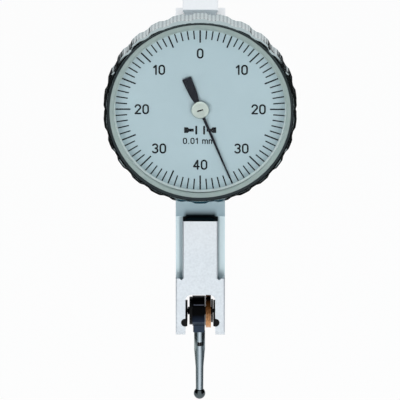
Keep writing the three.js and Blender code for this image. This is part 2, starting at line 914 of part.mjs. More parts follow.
function pointerArbor() {
  const half = pointer.pinionLength / 2;
  const pinionFront = -crownMeshPlane - half;
  const pinionRear = -crownMeshPlane + half;
  const pinion = prismY(toothedOutline(
    pointerPinionTeeth, pointerPinionRadius, train.fineAddendum, train.fineDedendum,
    Math.PI / pointerPinionTeeth,
  ), pinionFront, pinionRear);
  const shaft = turnedY([
    [0, -pointer.handPlane - pointer.handThickness],
    [pointer.radius, -pointer.handPlane - pointer.handThickness],
    [pointer.radius, pinionRear],
    [pointer.pivotRadius, pinionRear],
    [pointer.pivotRadius, -potFloorPlane],
    [0, -potFloorPlane],
  ]);
  return join(shaft, pinion);
}

// The hand points along +Z here; its mesh is turned to the rest angle.
function pointerHand() {
  const front = -pointer.handPlane - pointer.handThickness;
  const rear = -pointer.handPlane;
  const half = (width) => width / 2;
  const blade = prismY([
    [-half(pointer.tipWidth), handLength], [-half(pointer.neckWidth), 0],
    [-half(pointer.tailNeckWidth), 0], [-half(pointer.tailNeckWidth), -pointer.boss],
    [-half(pointer.tailWidth), -pointer.tail + pointer.tailFlare],
    [-half(pointer.tailWidth), -pointer.tail], [half(pointer.tailWidth), -pointer.tail],
    [half(pointer.tailWidth), -pointer.tail + pointer.tailFlare],
    [half(pointer.tailNeckWidth), -pointer.boss], [half(pointer.tailNeckWidth), 0],
    [half(pointer.neckWidth), 0], [half(pointer.tipWidth), handLength],
  ], front, rear);
  const boss = turnedY(rod(pointer.boss, front, rear));
  const bore = turnedY(rod(pointer.radius + seat, front - overrun, rear + overrun));
  return cut(join(blade, boss), bore);
}

function pointerHub() {
  const rear = -pointer.handPlane - pointer.handThickness - seat;
  const face = rear - pointer.hubThickness;
  const cap = face - pointer.capHeight;
  const body = turnedY([
    [0, cap], [pointer.capRadius, cap], [pointer.capRadius, face], [pointer.hubRadius, face],
    [pointer.hubRadius, rear], [0, rear],
  ], midFacets);
  const half = pointer.slotWidth / 2;
  const slot = block(
    [-half, half], [cap - overrun, face], [-pointer.capRadius - overrun, pointer.capRadius + overrun],
  );
  return cut(body, slot);
}

add("pointer_arbor", pointerArbor(), "steel", pointerUnit);
add("pointer_hand", pointerHand(), "ink", pointerUnit).rotation.y = restAngle;
add("pointer_hub", pointerHub(), "steel", pointerUnit).rotation.y = restAngle;
add("hairspring_collet", turnedY(tube(
  pointer.radius + seat, hairspring.colletRadius,
  -hairspring.plane - hairspring.colletHeight / 2, -hairspring.plane + hairspring.colletHeight / 2,
)), "brass", pointerUnit);

// The hairspring winds outward from the collet to its stud.
function hairspringCoil() {
  const stepsPerTurn = 16;
  const steps = Math.round(hairspringTurns * stepsPerTurn);
  const edge = (side) => Array.from({ length: steps + 1 }, (_, i) => {
    const angle = (i / stepsPerTurn) * 2 * Math.PI;
    const middle = hairspring.start + (hairspring.pitch * i) / stepsPerTurn;
    const radius = middle + (side * hairspring.thickness) / 2;
    return [radius * Math.cos(angle), radius * Math.sin(angle)];
  });
  const half = hairspring.height / 2;
  return prismY([...edge(1), ...edge(-1).reverse()], -hairspring.plane - half, -hairspring.plane + half);
}

const studAngle = (hairspringTurns % 1) * 2 * Math.PI;
const springEnd = hairspring.start + hairspring.pitch * hairspringTurns;
const studReach = springEnd + hairspring.thickness / 2 + seat + hairspring.studRadius;
add("hairspring", hairspringCoil(), "steel", dialUnit);
add("hairspring_stud", turnedY(
  rod(
    hairspring.studRadius,
    -bridge.rearPlane + seat,
    -hairspring.plane + hairspring.height / 2,
  ),
  fineFacets,
  [studReach * Math.cos(studAngle), studReach * Math.sin(studAngle)],
), "brass", dialUnit);

// Crown wheel and arbor, built about the arbor's own axis.
const crownUnit = unit(0, -train.arborPlane, -frame.dialDrop);
const arborEnd = channelHalf - arbor.endPlay;

function crossArbor(collars) {
  const tip = arborEnd + arbor.pivotLength;
  const shaft = turnedX([
    [0, -tip], [arbor.pivotRadius, -tip], [arbor.pivotRadius, -arborEnd],
    [arbor.radius, -arborEnd], [arbor.radius, arborEnd], [arbor.pivotRadius, arborEnd],
    [arbor.pivotRadius, tip], [0, tip],
  ]);
  return join(shaft, collars.map(([from, to]) => turnedX(rod(arbor.collar, from, to))));
}

const crownRoot = pointerPinionRadius + train.fineDedendum + seat;
const crownTip = pointerPinionRadius - train.fineAddendum;
const crownHubEnd = crownRoot + crown.web + crown.hubLength;

function crownArbor() {
  const toSector = Math.atan2(-(sectorPivotDrop - frame.dialDrop), train.arborPlane);
  const pinion = prismX(
    toothedOutline(
      crownPinionTeeth, train.crownPinionRadius, train.addendum, train.dedendum, toSector,
    ),
    -crown.pinionStart - crown.pinionLength,
    -crown.pinionStart,
  );
  return join(crossArbor([[crownHubEnd + seat, arborEnd - arbor.endPlay]]), pinion);
}

function crownWheel() {
  const rim = crownReach - crown.lip;
  const web = turnedX(
    tube(arbor.radius + seat, crownReach, crownRoot, crownRoot + crown.web), midFacets,
  );
  const hub = turnedX(tube(arbor.radius + seat, crown.hub, crownRoot + crown.web / 2, crownHubEnd));
  const pitch = (2 * Math.PI * train.crownRadius) / crownTeeth;
  const rootHalf = (pitch * toothRootShare) / 2;
  const tipHalf = (pitch * toothTipShare) / 2;
  const teeth = [];
  for (let i = 0; i < crownTeeth; i += 1) {
    const section = extruded([
      [crownTip, tipHalf], [crownTip, -tipHalf], [crownRoot, -rootHalf],
      [crownRoot + crown.web / 2, -rootHalf], [crownRoot + crown.web / 2, rootHalf],
      [crownRoot, rootHalf],
    ], crown.faceWidth);
    section.rotateX(Math.PI / 2);
    section.translate(0, -rim + crown.faceWidth, 0);
    section.rotateX((i / crownTeeth) * 2 * Math.PI);
    teeth.push(solid(section));
  }
  const windows = Array.from({ length: crown.windows }, (_, i) => {
    const angle = ((i + 1 / 2) / crown.windows) * 2 * Math.PI;
    const middle = (arbor.collar + rim - crown.faceWidth) / 2;
    return turnedX(
      rod(crown.windowHalf, crownRoot - overrun, crownRoot + crown.web + overrun),
      fineFacets,
      [middle * Math.cos(angle), middle * Math.sin(angle)],
    );
  });
  return cut(join(web, hub, teeth), windows);
}

add("crown_arbor", crownArbor(), "steel", crownUnit);
add("crown_wheel", crownWheel(), "brass", crownUnit);

// Sector lever, built about its own pivot. Angles run from +Z towards -Y.
const sectorUnit = unit(0, 0, -sectorPivotDrop);
const polar = (radius, angle) => [-radius * Math.sin(angle), radius * Math.cos(angle)];

function sectorGear() {
  const step = train.crownPinionRadius * (2 * Math.PI / crownPinionTeeth) / train.sectorRadius;
  const tip = train.sectorRadius + train.addendum;
  const root = train.sectorRadius - train.dedendum;
  const first = -sectorTeethBehind;
  const last = sectorTeethAhead - 1;
  const centre = (k) => meshAngle + (k + 1 / 2) * step;
  const rimStart = centre(first) - step / 2;
  const rimEnd = centre(last) + step / 2;
  const rimPoints = [polar(root, rimStart)];
  for (let k = first; k <= last; k += 1) {
    rimPoints.push(
      polar(root, centre(k) - (toothRootShare * step) / 2),
      polar(tip, centre(k) - (toothTipShare * step) / 2),
      polar(tip, centre(k) + (toothTipShare * step) / 2),
      polar(root, centre(k) + (toothRootShare * step) / 2),
    );
  }
  rimPoints.push(polar(root, rimEnd));
  const foot = root - sector.rim;
  const steps = 6;
  for (let i = 0; i <= steps; i += 1) {
    rimPoints.push(polar(foot, rimEnd + (i / steps) * (rimStart - rimEnd)));
  }
  const left = -sector.inner - sector.thickness;
  const right = -sector.inner;
  const rim = prismX(rimPoints, left, right);
  const hub = turnedX(rod(sector.hub, left, right), midFacets);
  const spoke = (angle, turn) => {
    const width = sector.spoke / (foot + sector.rim / 2);
    const reach = foot + sector.rim / 2;
    return prismX([
      polar(sector.hub / 3, angle - turn * Math.PI / 2),
      polar(reach, angle),
      polar(reach, angle + turn * width),
      polar(sector.hub / 2, angle + turn * Math.PI / 2),
    ], left, right);
  };
  const tail = -sectorArm - sector.forkTail;
  const arm = prismX([
    [-sector.armWidth / 2, 0], [-sector.forkHalf, -sectorArm + sector.forkTail],
    [-sector.forkHalf, tail], [sector.forkHalf, tail],
    [sector.forkHalf, -sectorArm + sector.forkTail], [sector.armWidth / 2, 0],
  ], left, right);
  const slotHalfWidth = motion.pinRadius + running;
  const forkSlotCut = block(
    [left - overrun, right + overrun],
    [-slotHalfWidth, slotHalfWidth],
    [tail - overrun, -sectorArm + slotHalfWidth * 2],
  );
  const bore = turnedX(rod(arbor.radius + seat, left - overrun, right + overrun));
  return cut(join(rim, hub, spoke(rimStart, 1), spoke(rimEnd, -1), arm), forkSlotCut, bore);
}

add("sector_gear", sectorGear(), "brass", sectorUnit);
const sectorCollar = [-sector.inner + seat, -sector.inner + arbor.collar];
add("sector_arbor", crossArbor([sectorCollar]), "steel", sectorUnit);

// Bearing screws: a cup at the inner end takes the pivot, a driver slot outside.
function bearingScrew(size, pivotRadius, from) {
  const to = halfWidth - size.inset;
  const body = turnedX([
    [pivotRadius + running, from], [size.radius, from], [size.radius, to], [0, to],
    [0, from + size.cupDepth], [pivotRadius + running, from + size.cupDepth],
    [pivotRadius + running, from],
  ]);
  const half = driverSlot.width / 2;
  const slot = block(
    [to - driverSlot.depth, to + overrun],
    [-half, half],
    [-size.radius - overrun, size.radius + overrun],
  );
  return cut(body, slot);
}

const sides = [["left", Math.PI], ["right", 0]];
const bearingRows = [
  ["crown", bearing, arbor.pivotRadius, -train.arborPlane, frame.dialDrop, channelHalf],
  ["sector", bearing, arbor.pivotRadius, 0, sectorPivotDrop, channelHalf],
  ["lever", forkBearing, axle.pivotRadius, 0, frame.pivotDrop, slotHalf + seat],
];
for (const [name, size, pivotRadius, y, drop, from] of bearingRows) {
  for (const [side, turn] of sides) {
    const body = bearingScrew(size, pivotRadius, from);
    add(`${name}_bearing_${side}`, body, "steel", unit(0, y, -drop)).rotation.z = turn;
  }
}

// The black plates beside the legs, with the half-round foot each is held by.
function forkPlateBody(side) {
  const inner = plateInner;
  const outer = slotHalf - seat;
  const drop = -forkPlate.footBelowPivot;
  const ends = side > 0 ? [inner, outer] : [-outer, -inner];
  const disc = turnedX(rod(forkPlate.radius, ...ends), midFacets);
  const arm = prismX([
    [-halfDepth, drop - forkPlate.armHalf], [0, -forkPlate.radius * Math.cos(dovetailFlank)],
    [0, forkPlate.radius * Math.cos(dovetailFlank)], [-halfDepth, drop + forkPlate.armHalf],
  ], ...ends);
  const foot = turnedY(
    rod(forkPlate.footRadius, -halfDepth, -halfDepth + forkPlate.footLength),
    midFacets,
    [side * slotHalf, drop],
  );
  const trim = block(
    side > 0 ? [inner - overrun - forkPlate.footRadius, inner]
      : [-inner, -inner + overrun + forkPlate.footRadius],
    [-halfDepth - overrun, halfDepth],
    [drop - forkPlate.radius, drop + forkPlate.radius],
  );
  const hole = turnedX(rod(forkPlate.hole, ...(side > 0
    ? [inner - overrun, outer + overrun] : [-outer - overrun, -inner + overrun])));
  return cut(join(disc, arm, foot), trim, hole);
}

const forkUnit = unit(0, 0, -frame.pivotDrop);
add("fork_plate_left", forkPlateBody(-1), "black", forkUnit);
add("fork_plate_right", forkPlateBody(1), "black", forkUnit);

// The contact lever and the clutch on its axle.
const axleEnd = plateInner - arbor.endPlay;
const nutOuter = motion.outer + seat + clutch.nutThickness;

function leverAxle() {
  const tip = axleEnd + axle.pivotLength;
  return turnedX([
    [0, -tip], [axle.pivotRadius, -tip], [axle.pivotRadius, -axleEnd], [axle.radius, -axleEnd],
    [axle.radius, -axle.flangeOuter], [axle.flangeRadius, -axle.flangeOuter],
    [axle.flangeRadius, -axle.flangeInner], [axle.radius, -axle.flangeInner],
    [axle.radius, axleEnd], [axle.pivotRadius, axleEnd], [axle.pivotRadius, tip], [0, tip],
  ], midFacets);
}

function motionLever() {
  const disc = turnedX(rod(motion.radius, motion.inner, motion.outer), midFacets);
  const armLeft = motion.inner;
  const armRight = motion.inner + motion.armThickness;
  const top = contactArm + motion.armHalf;
  const arm = prismX([
    [-motion.radius / 2, 0], [motion.radius / 2, 0], [motion.armHalf, motion.radius + overrun],
    [motion.armTipHalf, top], [-motion.armTipHalf, top], [-motion.armHalf, motion.radius + overrun],
  ], armLeft, armRight);
  const bore = turnedX(rod(axle.radius + seat, armLeft - overrun, motion.outer + overrun), midFacets);
  const pinHole = turnedX(
    rod(motion.pinRadius + seat, armLeft - overrun, armRight + overrun), fineFacets, [0, contactArm],
  );
  return cut(join(disc, arm), bore, pinHole);
}

const pinEnd = sector.inner + sector.thickness + motion.pinReach;
add("lever_axle", leverAxle(), "black", forkUnit);
add("motion_lever", motionLever(), "bronze", forkUnit);
add("motion_pin", turnedX(
  rod(motion.pinRadius, -pinEnd, motion.inner + motion.armThickness), fineFacets, [0, contactArm],
), "steel", forkUnit);
add("clutch_washer", turnedX(tube(
  axle.radius + seat, clutch.washerRadius,
  motion.inner - seat - clutch.washer, motion.inner - seat,
), midFacets), "steel", forkUnit);
const nut = turnedX(
  tube(axle.radius + seat, clutch.nutRadius, motion.outer + seat, nutOuter), midFacets,
);
const nutSlot = block(
  [nutOuter - driverSlot.depth, nutOuter + overrun],
  [-driverSlot.width / 2, driverSlot.width / 2],
  [-clutch.nutRadius - overrun, clutch.nutRadius + overrun],
);
add("clutch_nut", cut(nut, nutSlot), "black", forkUnit);

// The drum that grips the stylus, and the stylus with its ball.
const drumRight = motion.inner - seat - clutch.washer - seat;

function stylusHolder() {
  const drum = turnedX(rod(stylus.drumRadius, -stylus.drumLeft, drumRight), midFacets);
  const half = stylus.stemWidth / 2;
  const e = stylus.edge;
  const stem = prismZ([
    [-half + e, -half], [half - e, -half], [half, -half + e], [half, half - e],
    [half - e, half], [-half + e, half], [-half, half - e], [-half, -half + e],
  ].map(([x, y]) => [x - stylus.stemLeftBy, y]), -stylus.stemLength, 0);
  const bore = turnedX(
    rod(axle.radius + running, -stylus.drumLeft - overrun, drumRight + overrun), midFacets,
  );
  const threadTop = -stylus.stemLength + stylus.threadLength + seat;
  const thread = turnedZ(
    rod(stylus.threadRadius + seat, -stylus.stemLength - overrun, threadTop),
    fineFacets,
    [-stylus.leftBy, 0],
  );
  return cut(join(drum, stem), bore, thread);
}

function stylusShank() {
  const top = -stylus.stemLength - seat;
  const neck = top - stylus.collarLength;
  const socket = socketShares.map((share) => {
    const radius = stylus.tipRadius * share;
    const cup = gauge.ballRadius + stylus.ballGap;
    return [radius, -gauge.reach + Math.sqrt(cup ** 2 - radius ** 2)];
  });
  const body = turnedZ([
    [0, top + stylus.threadLength], [stylus.threadRadius, top + stylus.threadLength],
    [stylus.threadRadius, top], [stylus.collarRadius, top], [stylus.collarRadius, neck],
    [stylus.shaftRadius, neck - stylus.coneLength], ...socket,
  ], midFacets);
  const outer = stylus.collarRadius + overrun;
  const flats = [-1, 1].map((side) => block(
    [-outer, outer],
    side > 0 ? [stylus.flatHalf, outer] : [-outer, -stylus.flatHalf],
    [top - stylus.flatLength, top],
  ));
  const pinHole = turnedY(
    rod(stylus.holeRadius, -outer, outer), fineFacets, [0, top - stylus.holeDrop],
  );
  return cut(body, flats, pinHole);
}

const stylusUnit = unit(-stylus.leftBy, 0, -frame.pivotDrop);
add("stylus_holder", stylusHolder(), "slate", forkUnit);
add("stylus_shank", stylusShank(), "steel", stylusUnit);
const ball = new THREE.SphereGeometry(gauge.ballRadius, midFacets, fineFacets);
ball.rotateX(Math.PI / 2);
add("stylus_ball", solid(ball), "carbide", unit(0, 0, -gauge.reach, stylusUnit));

export default indicator;
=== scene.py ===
# %% [markdown]
# # A dial test indicator
# A small measuring instrument: a chromed frame with a dovetail at the top, a
# round dial under a clear crystal, and a ball stylus in a fork. The mechanism
# comes in as a fixed frame of real pieces, in metres, and every later piece
# takes its place from it. Blender adds what a camera looks for: rounded edges,
# a knurled bezel, printed marks and finishes.

# %% Load the frame
import json
import math

import bmesh
import bpy
from mathutils import Matrix, Vector

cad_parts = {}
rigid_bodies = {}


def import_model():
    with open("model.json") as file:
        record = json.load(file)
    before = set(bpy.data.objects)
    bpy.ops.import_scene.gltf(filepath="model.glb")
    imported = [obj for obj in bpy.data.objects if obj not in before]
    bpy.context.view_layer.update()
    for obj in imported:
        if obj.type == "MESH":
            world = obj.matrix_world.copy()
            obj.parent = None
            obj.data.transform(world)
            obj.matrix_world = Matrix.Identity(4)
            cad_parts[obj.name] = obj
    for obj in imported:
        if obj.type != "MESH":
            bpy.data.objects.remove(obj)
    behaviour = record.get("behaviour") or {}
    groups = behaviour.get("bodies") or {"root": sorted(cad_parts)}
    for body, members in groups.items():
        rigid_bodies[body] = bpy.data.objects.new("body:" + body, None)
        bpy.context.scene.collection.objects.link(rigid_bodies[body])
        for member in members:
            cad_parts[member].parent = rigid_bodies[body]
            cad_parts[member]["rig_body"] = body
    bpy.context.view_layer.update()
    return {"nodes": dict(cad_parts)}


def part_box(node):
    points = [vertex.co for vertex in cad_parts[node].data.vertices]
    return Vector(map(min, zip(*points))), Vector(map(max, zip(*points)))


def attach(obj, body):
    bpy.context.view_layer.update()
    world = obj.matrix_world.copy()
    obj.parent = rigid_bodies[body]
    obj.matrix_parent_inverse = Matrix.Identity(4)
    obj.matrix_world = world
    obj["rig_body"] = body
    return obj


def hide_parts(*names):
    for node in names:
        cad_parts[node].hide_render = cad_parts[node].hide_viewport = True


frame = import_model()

nodes = frame["nodes"]
MM = 0.001


def box_mm(node):
    """A node's low and high corner, in millimetres."""
    return [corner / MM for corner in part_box(node)]


def middle_of(node):
    low, high = box_mm(node)
    return (low + high) / 2


# %% [markdown]
# ## Shader maths that reads like maths
# A procedural finish is mostly arithmetic on masks. Wiring Math nodes by hand
# hides that, so a small class wraps a socket and lets Python's operators add
# the nodes.


# %% A socket that can be added and multiplied
class Value:
    """A socket that carries one number for each point."""

    def __init__(self, tree, socket):
        self.tree = tree
        self.socket = socket

    def math(self, operation, *others):
        node = self.tree.nodes.new("ShaderNodeMath")
        node.operation = operation
        for place, term in zip(node.inputs, (self, *others)):
            if isinstance(term, Value):
                self.tree.links.new(term.socket, place)
            else:
                place.default_value = term
        return Value(self.tree, node.outputs[0])

    def __add__(self, other):
        return self.math("ADD", other)

    def __sub__(self, other):
        return self.math("SUBTRACT", other)

    def __mul__(self, other):
        return self.math("MULTIPLY", other)

    def __rsub__(self, other):
        return (self * -1).math("ADD", other)

    __radd__ = __add__
    __rmul__ = __mul__

    def clamped(self):
        return self.math("MAXIMUM", 0).math("MINIMUM", 1)

    def rising(self, start, end):
        """0 before start, 1 after end, a straight ramp between."""
        return ((self - start) * (1 / (end - start))).clamped()

    def band(self, low, high, soft):
        """1 from low to high, with a ramp of the soft width inside both ends."""
        return self.rising(low, low + soft) * (1 - self.rising(high - soft, high))


# %% [markdown]
# ## One method for every other node
# One method makes every other node: its type, then its settings, then its
# sockets, because some settings decide which sockets a node has. A finish is a
# Principled surface with such nodes in front of it.

# %% Nodes and finishes
MIX_LOW, MIX_HIGH, MIX_RESULT = 6, 7, 2  # a Mix node's sockets for colours


class Nodes:
    """Adds nodes to one tree."""

    def __init__(self, tree):
        self.tree = tree
        self.tree.nodes.clear()

    def node(self, kind, settings=None, inputs=None):
        made = self.tree.nodes.new("ShaderNode" + kind)
        for key, value in (settings or {}).items():
            if key == "stops":
                self.fill_ramp(made.color_ramp, value)
            else:
                setattr(made, key, value)
        for key, value in (inputs or {}).items():
            self.put(made.inputs[key], value)
        return made

    def fill_ramp(self, ramp, stops):
        while len(ramp.elements) < len(stops):
            ramp.elements.new(1)
        for element, (place, colour) in zip(ramp.elements, stops):
            element.position = place
            element.color = colour

    def put(self, socket, value):
        if isinstance(value, Value):
            self.tree.links.new(value.socket, socket)
        elif isinstance(value, bpy.types.NodeSocket):
            self.tree.links.new(value, socket)
        else:
            socket.default_value = value

    def value(self, kind, output=0, settings=None, inputs=None):
        return Value(self.tree, self.node(kind, settings, inputs).outputs[output])

    def ray_is(self, *names):
        """1 for a ray of any of these kinds, as Light Path names them."""
        path = self.node("LightPath").outputs
        found = Value(self.tree, path[names[0]])
        for name in names[1:]:
            found = found.math("MAXIMUM", Value(self.tree, path[name]))
        return found

    def mixed_shader(self, share, first, second):
        shaders = {1: first.outputs[0], 2: second.outputs[0]}
        return self.node("MixShader", inputs={0: share, **shaders}).outputs[0]


class Finish(Nodes):
    """One material: a Principled surface and the nodes that feed it."""

    def __init__(self, name, **constants):
        self.material = bpy.data.materials.new(name)
        self.material.use_nodes = True
        super().__init__(self.material.node_tree)
        self.surface = self.node("BsdfPrincipled")
        self.output = self.node("OutputMaterial", inputs={"Surface": self.surface.outputs[0]})
        self.feed(**constants)

    def give_way(self, share, other):
        """Shows another shader instead of the surface, by a share."""
        self.put(self.output.inputs["Surface"], self.mixed_shader(share, self.surface, other))

    def feed(self, **sockets):
        for socket, value in sockets.items():
            self.put(self.surface.inputs[socket.replace("_", " ")], value)

    def object_place(self):
        return self.node("TexCoord").outputs["Object"]

    def place_mm(self):
        parts = self.node("SeparateXYZ", inputs={"Vector": self.object_place()}).outputs
        return [Value(self.tree, part) * (1 / MM) for part in parts]

    def noise(self, size, detail=2.0, stretch=None):
        """Noise with patches of a size in millimetres."""
        place = self.object_place()
        if stretch:
            place = self.node("Mapping", inputs={"Vector": place, "Scale": stretch}).outputs[0]
        return self.value("TexNoise", inputs={
            "Vector": place, "Scale": 1 / (size * MM), "Detail": detail,
        })

    def between(self, amount, low, high):
        mixed = self.node("Mix", {"data_type": "RGBA"}, {
            "Factor": amount, MIX_LOW: low, MIX_HIGH: high,
        })
        return mixed.outputs[MIX_RESULT]

    def toned(self, colour, tones):
        """Lays each tone over the colour, as far as its mask says."""
        for mask, tone in tones:
            colour = self.between(mask(self), colour, tone)
        return colour

    def bump(self, height, depth):
        """Relief of a depth in millimetres."""
        made = self.node("Bump", inputs={"Height": height, "Distance": depth * MM})
        self.feed(Normal=made.outputs[0])


def rgb(red, green, blue):
    """A colour as seen, from 0 to 255, in the linear values that shaders use."""
    def linear(level):
        share = level / 255
        if share <= 0.04045:
            return share / 12.92
        return ((share + 0.055) / 1.055) ** 2.4
    return (linear(red), linear(green), linear(blue), 1.0)


def scaled(colour, factor):
    return tuple(min(1.0, part * factor) for part in colour[:3]) + (1.0,)


# %% [markdown]
# ## The metals
# A gauge is nearly all metal, and what sets its metals apart is how they were
# finished. The frame is satin chrome: near white, with a very fine even grain
# from blasting before plating. Grain belongs in a small bump and in the
# roughness, and noise in object space gives both, at a tenth of a millimetre.

# %% Metal finishes
CLOUD_SIZE = 6.0
GLOSS_SPREAD = 0.05


def metal(name, colour, roughness, tint=0.06, grain=0.004, size=0.12, stretch=None, share=1.0):
    """Bare metal, cloudy by the tint; the grain's depth and size are in millimetres."""
    finish = Finish(name, Metallic=share)
    cloud = finish.noise(CLOUD_SIZE, 3.0)
    fine = finish.noise(size, stretch=stretch)
    finish.feed(
        Base_Color=finish.between(cloud, scaled(colour, 1 - tint), colour),
        Roughness=(fine - 0.5) * GLOSS_SPREAD + (cloud - 0.5) * GLOSS_SPREAD + roughness,
    )
    if grain:
        finish.bump(fine, grain)
    return finish.material


def satin(name, tones=()):
    """Blasted chrome; each pair in tones is a mask and the colour that it brings."""
    finish = Finish(name, Metallic=0.6)
    cloud = finish.noise(CLOUD_SIZE, 3.0)
    blots = finish.noise(0.4)
    fine = finish.noise(0.16)
    patches = (cloud + (blots - 0.5) * 2.4).clamped()
    colour = finish.between(patches, rgb(220, 226, 231), rgb(232, 238, 243))
    finish.feed(
        Base_Color=finish.toned(colour, tones),
        Roughness=(fine - 0.5) * GLOSS_SPREAD + (cloud - 0.5) * GLOSS_SPREAD + 0.38,
    )
    finish.bump(fine, 0.012)
    return finish.material


satin_chrome = satin("satin_chrome")
steel = metal("turned_steel", rgb(200, 204, 208), 0.24, grain=0.001, size=0.05)
carbide = metal("hard_metal", rgb(104, 114, 118), 0.2, tint=0.5, grain=0)
brass = metal("plate_brass", rgb(214, 180, 106), 0.3, grain=0.001, stretch=(8, 1, 1))
gear_brass = metal("gear_brass", rgb(220, 184, 102), 0.24, grain=0.001)
hub_steel = metal("hub_steel", rgb(192, 202, 197), 0.32, grain=0.002)
print("metals:", len(bpy.data.materials))

# %% [markdown]
# ## Painted shade and light on the frame
# The frame's chrome isn't the same all over. The corner over the front
# dovetail's pad is painted dark as painted shade, the neck under the bezel is
# painted bluer as painted shade, and the ends are painted brighter as painted
# light. Each is a mask of the place in millimetres.

# %% The frame's chrome
PAD_TOP, PAD_FOOT, PAD_SIDE = -37.5, -49.5, 3.0
NECK_FACE, PAD_FACE = -2.1, -4.5
BEZEL_FOOT = -31.0


def corner_shade(finish):
    """Painted shade in the corner over the pad, and under its two sides."""
    x, y, z = finish.place_mm()
    off = x.math("ABSOLUTE")
    fall = 1 - z.rising(PAD_TOP + 0.3, PAD_TOP + 1.8)
    ends = 1 - off.rising(PAD_SIDE - 0.65, PAD_SIDE - 0.05)
    corner = fall * fall * z.rising(PAD_TOP, PAD_TOP + 0.01) * ends
    under = 1 - off.rising(PAD_SIDE - 0.05, PAD_SIDE + 0.05)
    behind = y.rising(NECK_FACE - 0.5, NECK_FACE - 0.4)
    sides = under * behind * z.band(PAD_FOOT - 0.2, PAD_TOP + 0.15, 0.15)
    front = 1 - y.rising(NECK_FACE + 0.05, NECK_FACE + 0.15)
    return front * (corner + sides).clamped()


def shade_beside_pad(finish):
    """Painted shade: the strips beside the pad are duller and bluer close to it."""
    x, y, z = finish.place_mm()
    left = x.band(-PAD_SIDE - 0.7, -PAD_SIDE + 0.1, 0.25) * 0.42
    right = x.band(PAD_SIDE - 0.1, PAD_SIDE + 0.3, 0.12) * 0.34
    face = y.band(NECK_FACE - 0.4, NECK_FACE + 0.15, 0.05)
    return (left + right) * face * z.band(PAD_FOOT - 0.2, PAD_TOP + 0.15, 0.15)


def painted_light_ends(finish):
    """Painted light: the top dovetail and the pad's upper end are painted brighter."""
    y, z = finish.place_mm()[1:]
    face = 1 - y.rising(PAD_FACE + 0.1, PAD_FACE + 0.2)
    pad = z.band(-44.0, PAD_TOP + 0.2, 0.1) * z.rising(-44.0, -38.0) * face
    return (z.rising(-8.0, -3.0) * 0.6 + pad * 0.35).clamped()


def blue_shade_neck(finish):
    """Painted blue shade on the neck's front and the strips beside the pad."""
    y, z = finish.place_mm()[1:]
    face = y.band(NECK_FACE - 0.2, NECK_FACE + 0.15, 0.05)
    return z.band(PAD_FOOT, BEZEL_FOOT, 0.05) * face


# Its tones: painted light on the ends, painted blue shade on the neck, painted shade beside the
# pad and in the corner.
body_chrome = satin("body_chrome", [
    (painted_light_ends, rgb(253, 254, 255)), (blue_shade_neck, rgb(231, 250, 255)),
    (shade_beside_pad, rgb(20, 78, 100)), (corner_shade, rgb(10, 16, 20)),
])
print("nodes in the frame's chrome:", len(body_chrome.node_tree.nodes))

# %% [markdown]
# ## Ground steel and bronze
# The stylus is ground lengthwise, so what it reflects breaks into streaks. A
# colour ramp across its width paints these reflections, shaken a little by long
# noise, and painted shade darkens it round its cross hole. The bronze foot is
# painted darker above and lighter below, painted shade and painted light in a
# blend in height.

# %% Streaked steel and shaded bronze
ball_middle = middle_of("stylus_ball")
BALL_X, BALL_Z = ball_middle.x, ball_middle.z
SHANK_TOP = box_mm("stylus_shank")[1].z
STYLUS_HOLE = SHANK_TOP - 3.65


def ground_steel():
    """Steel with painted reflections in streaks across its width, and painted shade round its
    cross hole.
    """
    finish = Finish("ground_steel", Metallic=0.9)
    x, y, z = finish.place_mm()
    off = x - BALL_X
    fine = finish.noise(0.1, stretch=(1, 1, 0.06))
    across = (off + (fine - 0.5) * 0.1).rising(-1.0, 1.0)
    # The ramp paints reflections across the width as bright and dark streaks.
    painted_streaks = finish.node("ValToRGB", {"stops": [
        (0.0, rgb(176, 186, 184)), (0.16, rgb(142, 154, 154)), (0.27, rgb(112, 128, 132)),
        (0.38, rgb(140, 156, 164)), (0.51, rgb(210, 222, 230)), (0.58, rgb(184, 198, 206)),
        (0.68, rgb(108, 122, 130)), (0.78, rgb(78, 90, 98)), (0.9, rgb(118, 132, 138)),
    ]}, {"Fac": across})
    # Painted shade round the cross hole.
    darkening = off.band(-0.45, 0.8, 0.14) * z.band(STYLUS_HOLE - 0.4, STYLUS_HOLE + 0.4, 0.1)
    finish.feed(
        Base_Color=finish.between(darkening * 0.95, painted_streaks.outputs[0], rgb(12, 20, 24)),
        Roughness=fine * 0.1 + 0.2,
    )
    finish.bump(fine, 0.001)
    return finish.material


def shaded_bronze():
    """Mottled bronze, painted darker above as painted shade and lighter below as painted light.
    """
    finish = Finish("lever_bronze", Metallic=1.0)
    height = finish.place_mm()[2]
    fine = finish.noise(0.3, 3.0, stretch=(4, 1, 1))
    # Painted light below and painted shade above, blended by height.
    lit_below = 1 - (height + (fine - 0.5) * 6.0).rising(-57.0, -54.0)
    finish.feed(
        Base_Color=finish.between(lit_below, rgb(70, 40, 14), rgb(216, 160, 112)),
        Roughness=fine * 0.2 + 0.2,
    )
    finish.bump(fine, 0.002)
    return finish.material


stylus_steel = ground_steel()
bronze = shaded_bronze()
print("stylus hole at z", round(STYLUS_HOLE, 2), "mm")

# %% [markdown]
# ## Blackened steel, ink and ruby
# The drum, the plates in the fork and the hand aren't bare metal but a dark
# layer over it: oxide or enamel. Such a layer has no metallic share, and its
# gloss is even, with faint wear. Only the stem's slate oxide is so thin that
# the steel shines through it.


# %% Dark finishes
def painted_highlight_line(finish):
    """A painted highlight: the fine bright line along the drum."""
    x, y, z = finish.place_mm()
    return z.band(-53.47, -53.36, 0.04) * x.band(-1.2, 0.75, 0.1) * (1 - y.rising(-1.4, -1.3))


def painted_lower_reflection(finish):
    """Painted reflection: the drum's black turns to the stem's slate tone on its lower side."""
    return 1 - finish.place_mm()[2].rising(-56.5, -55.0)


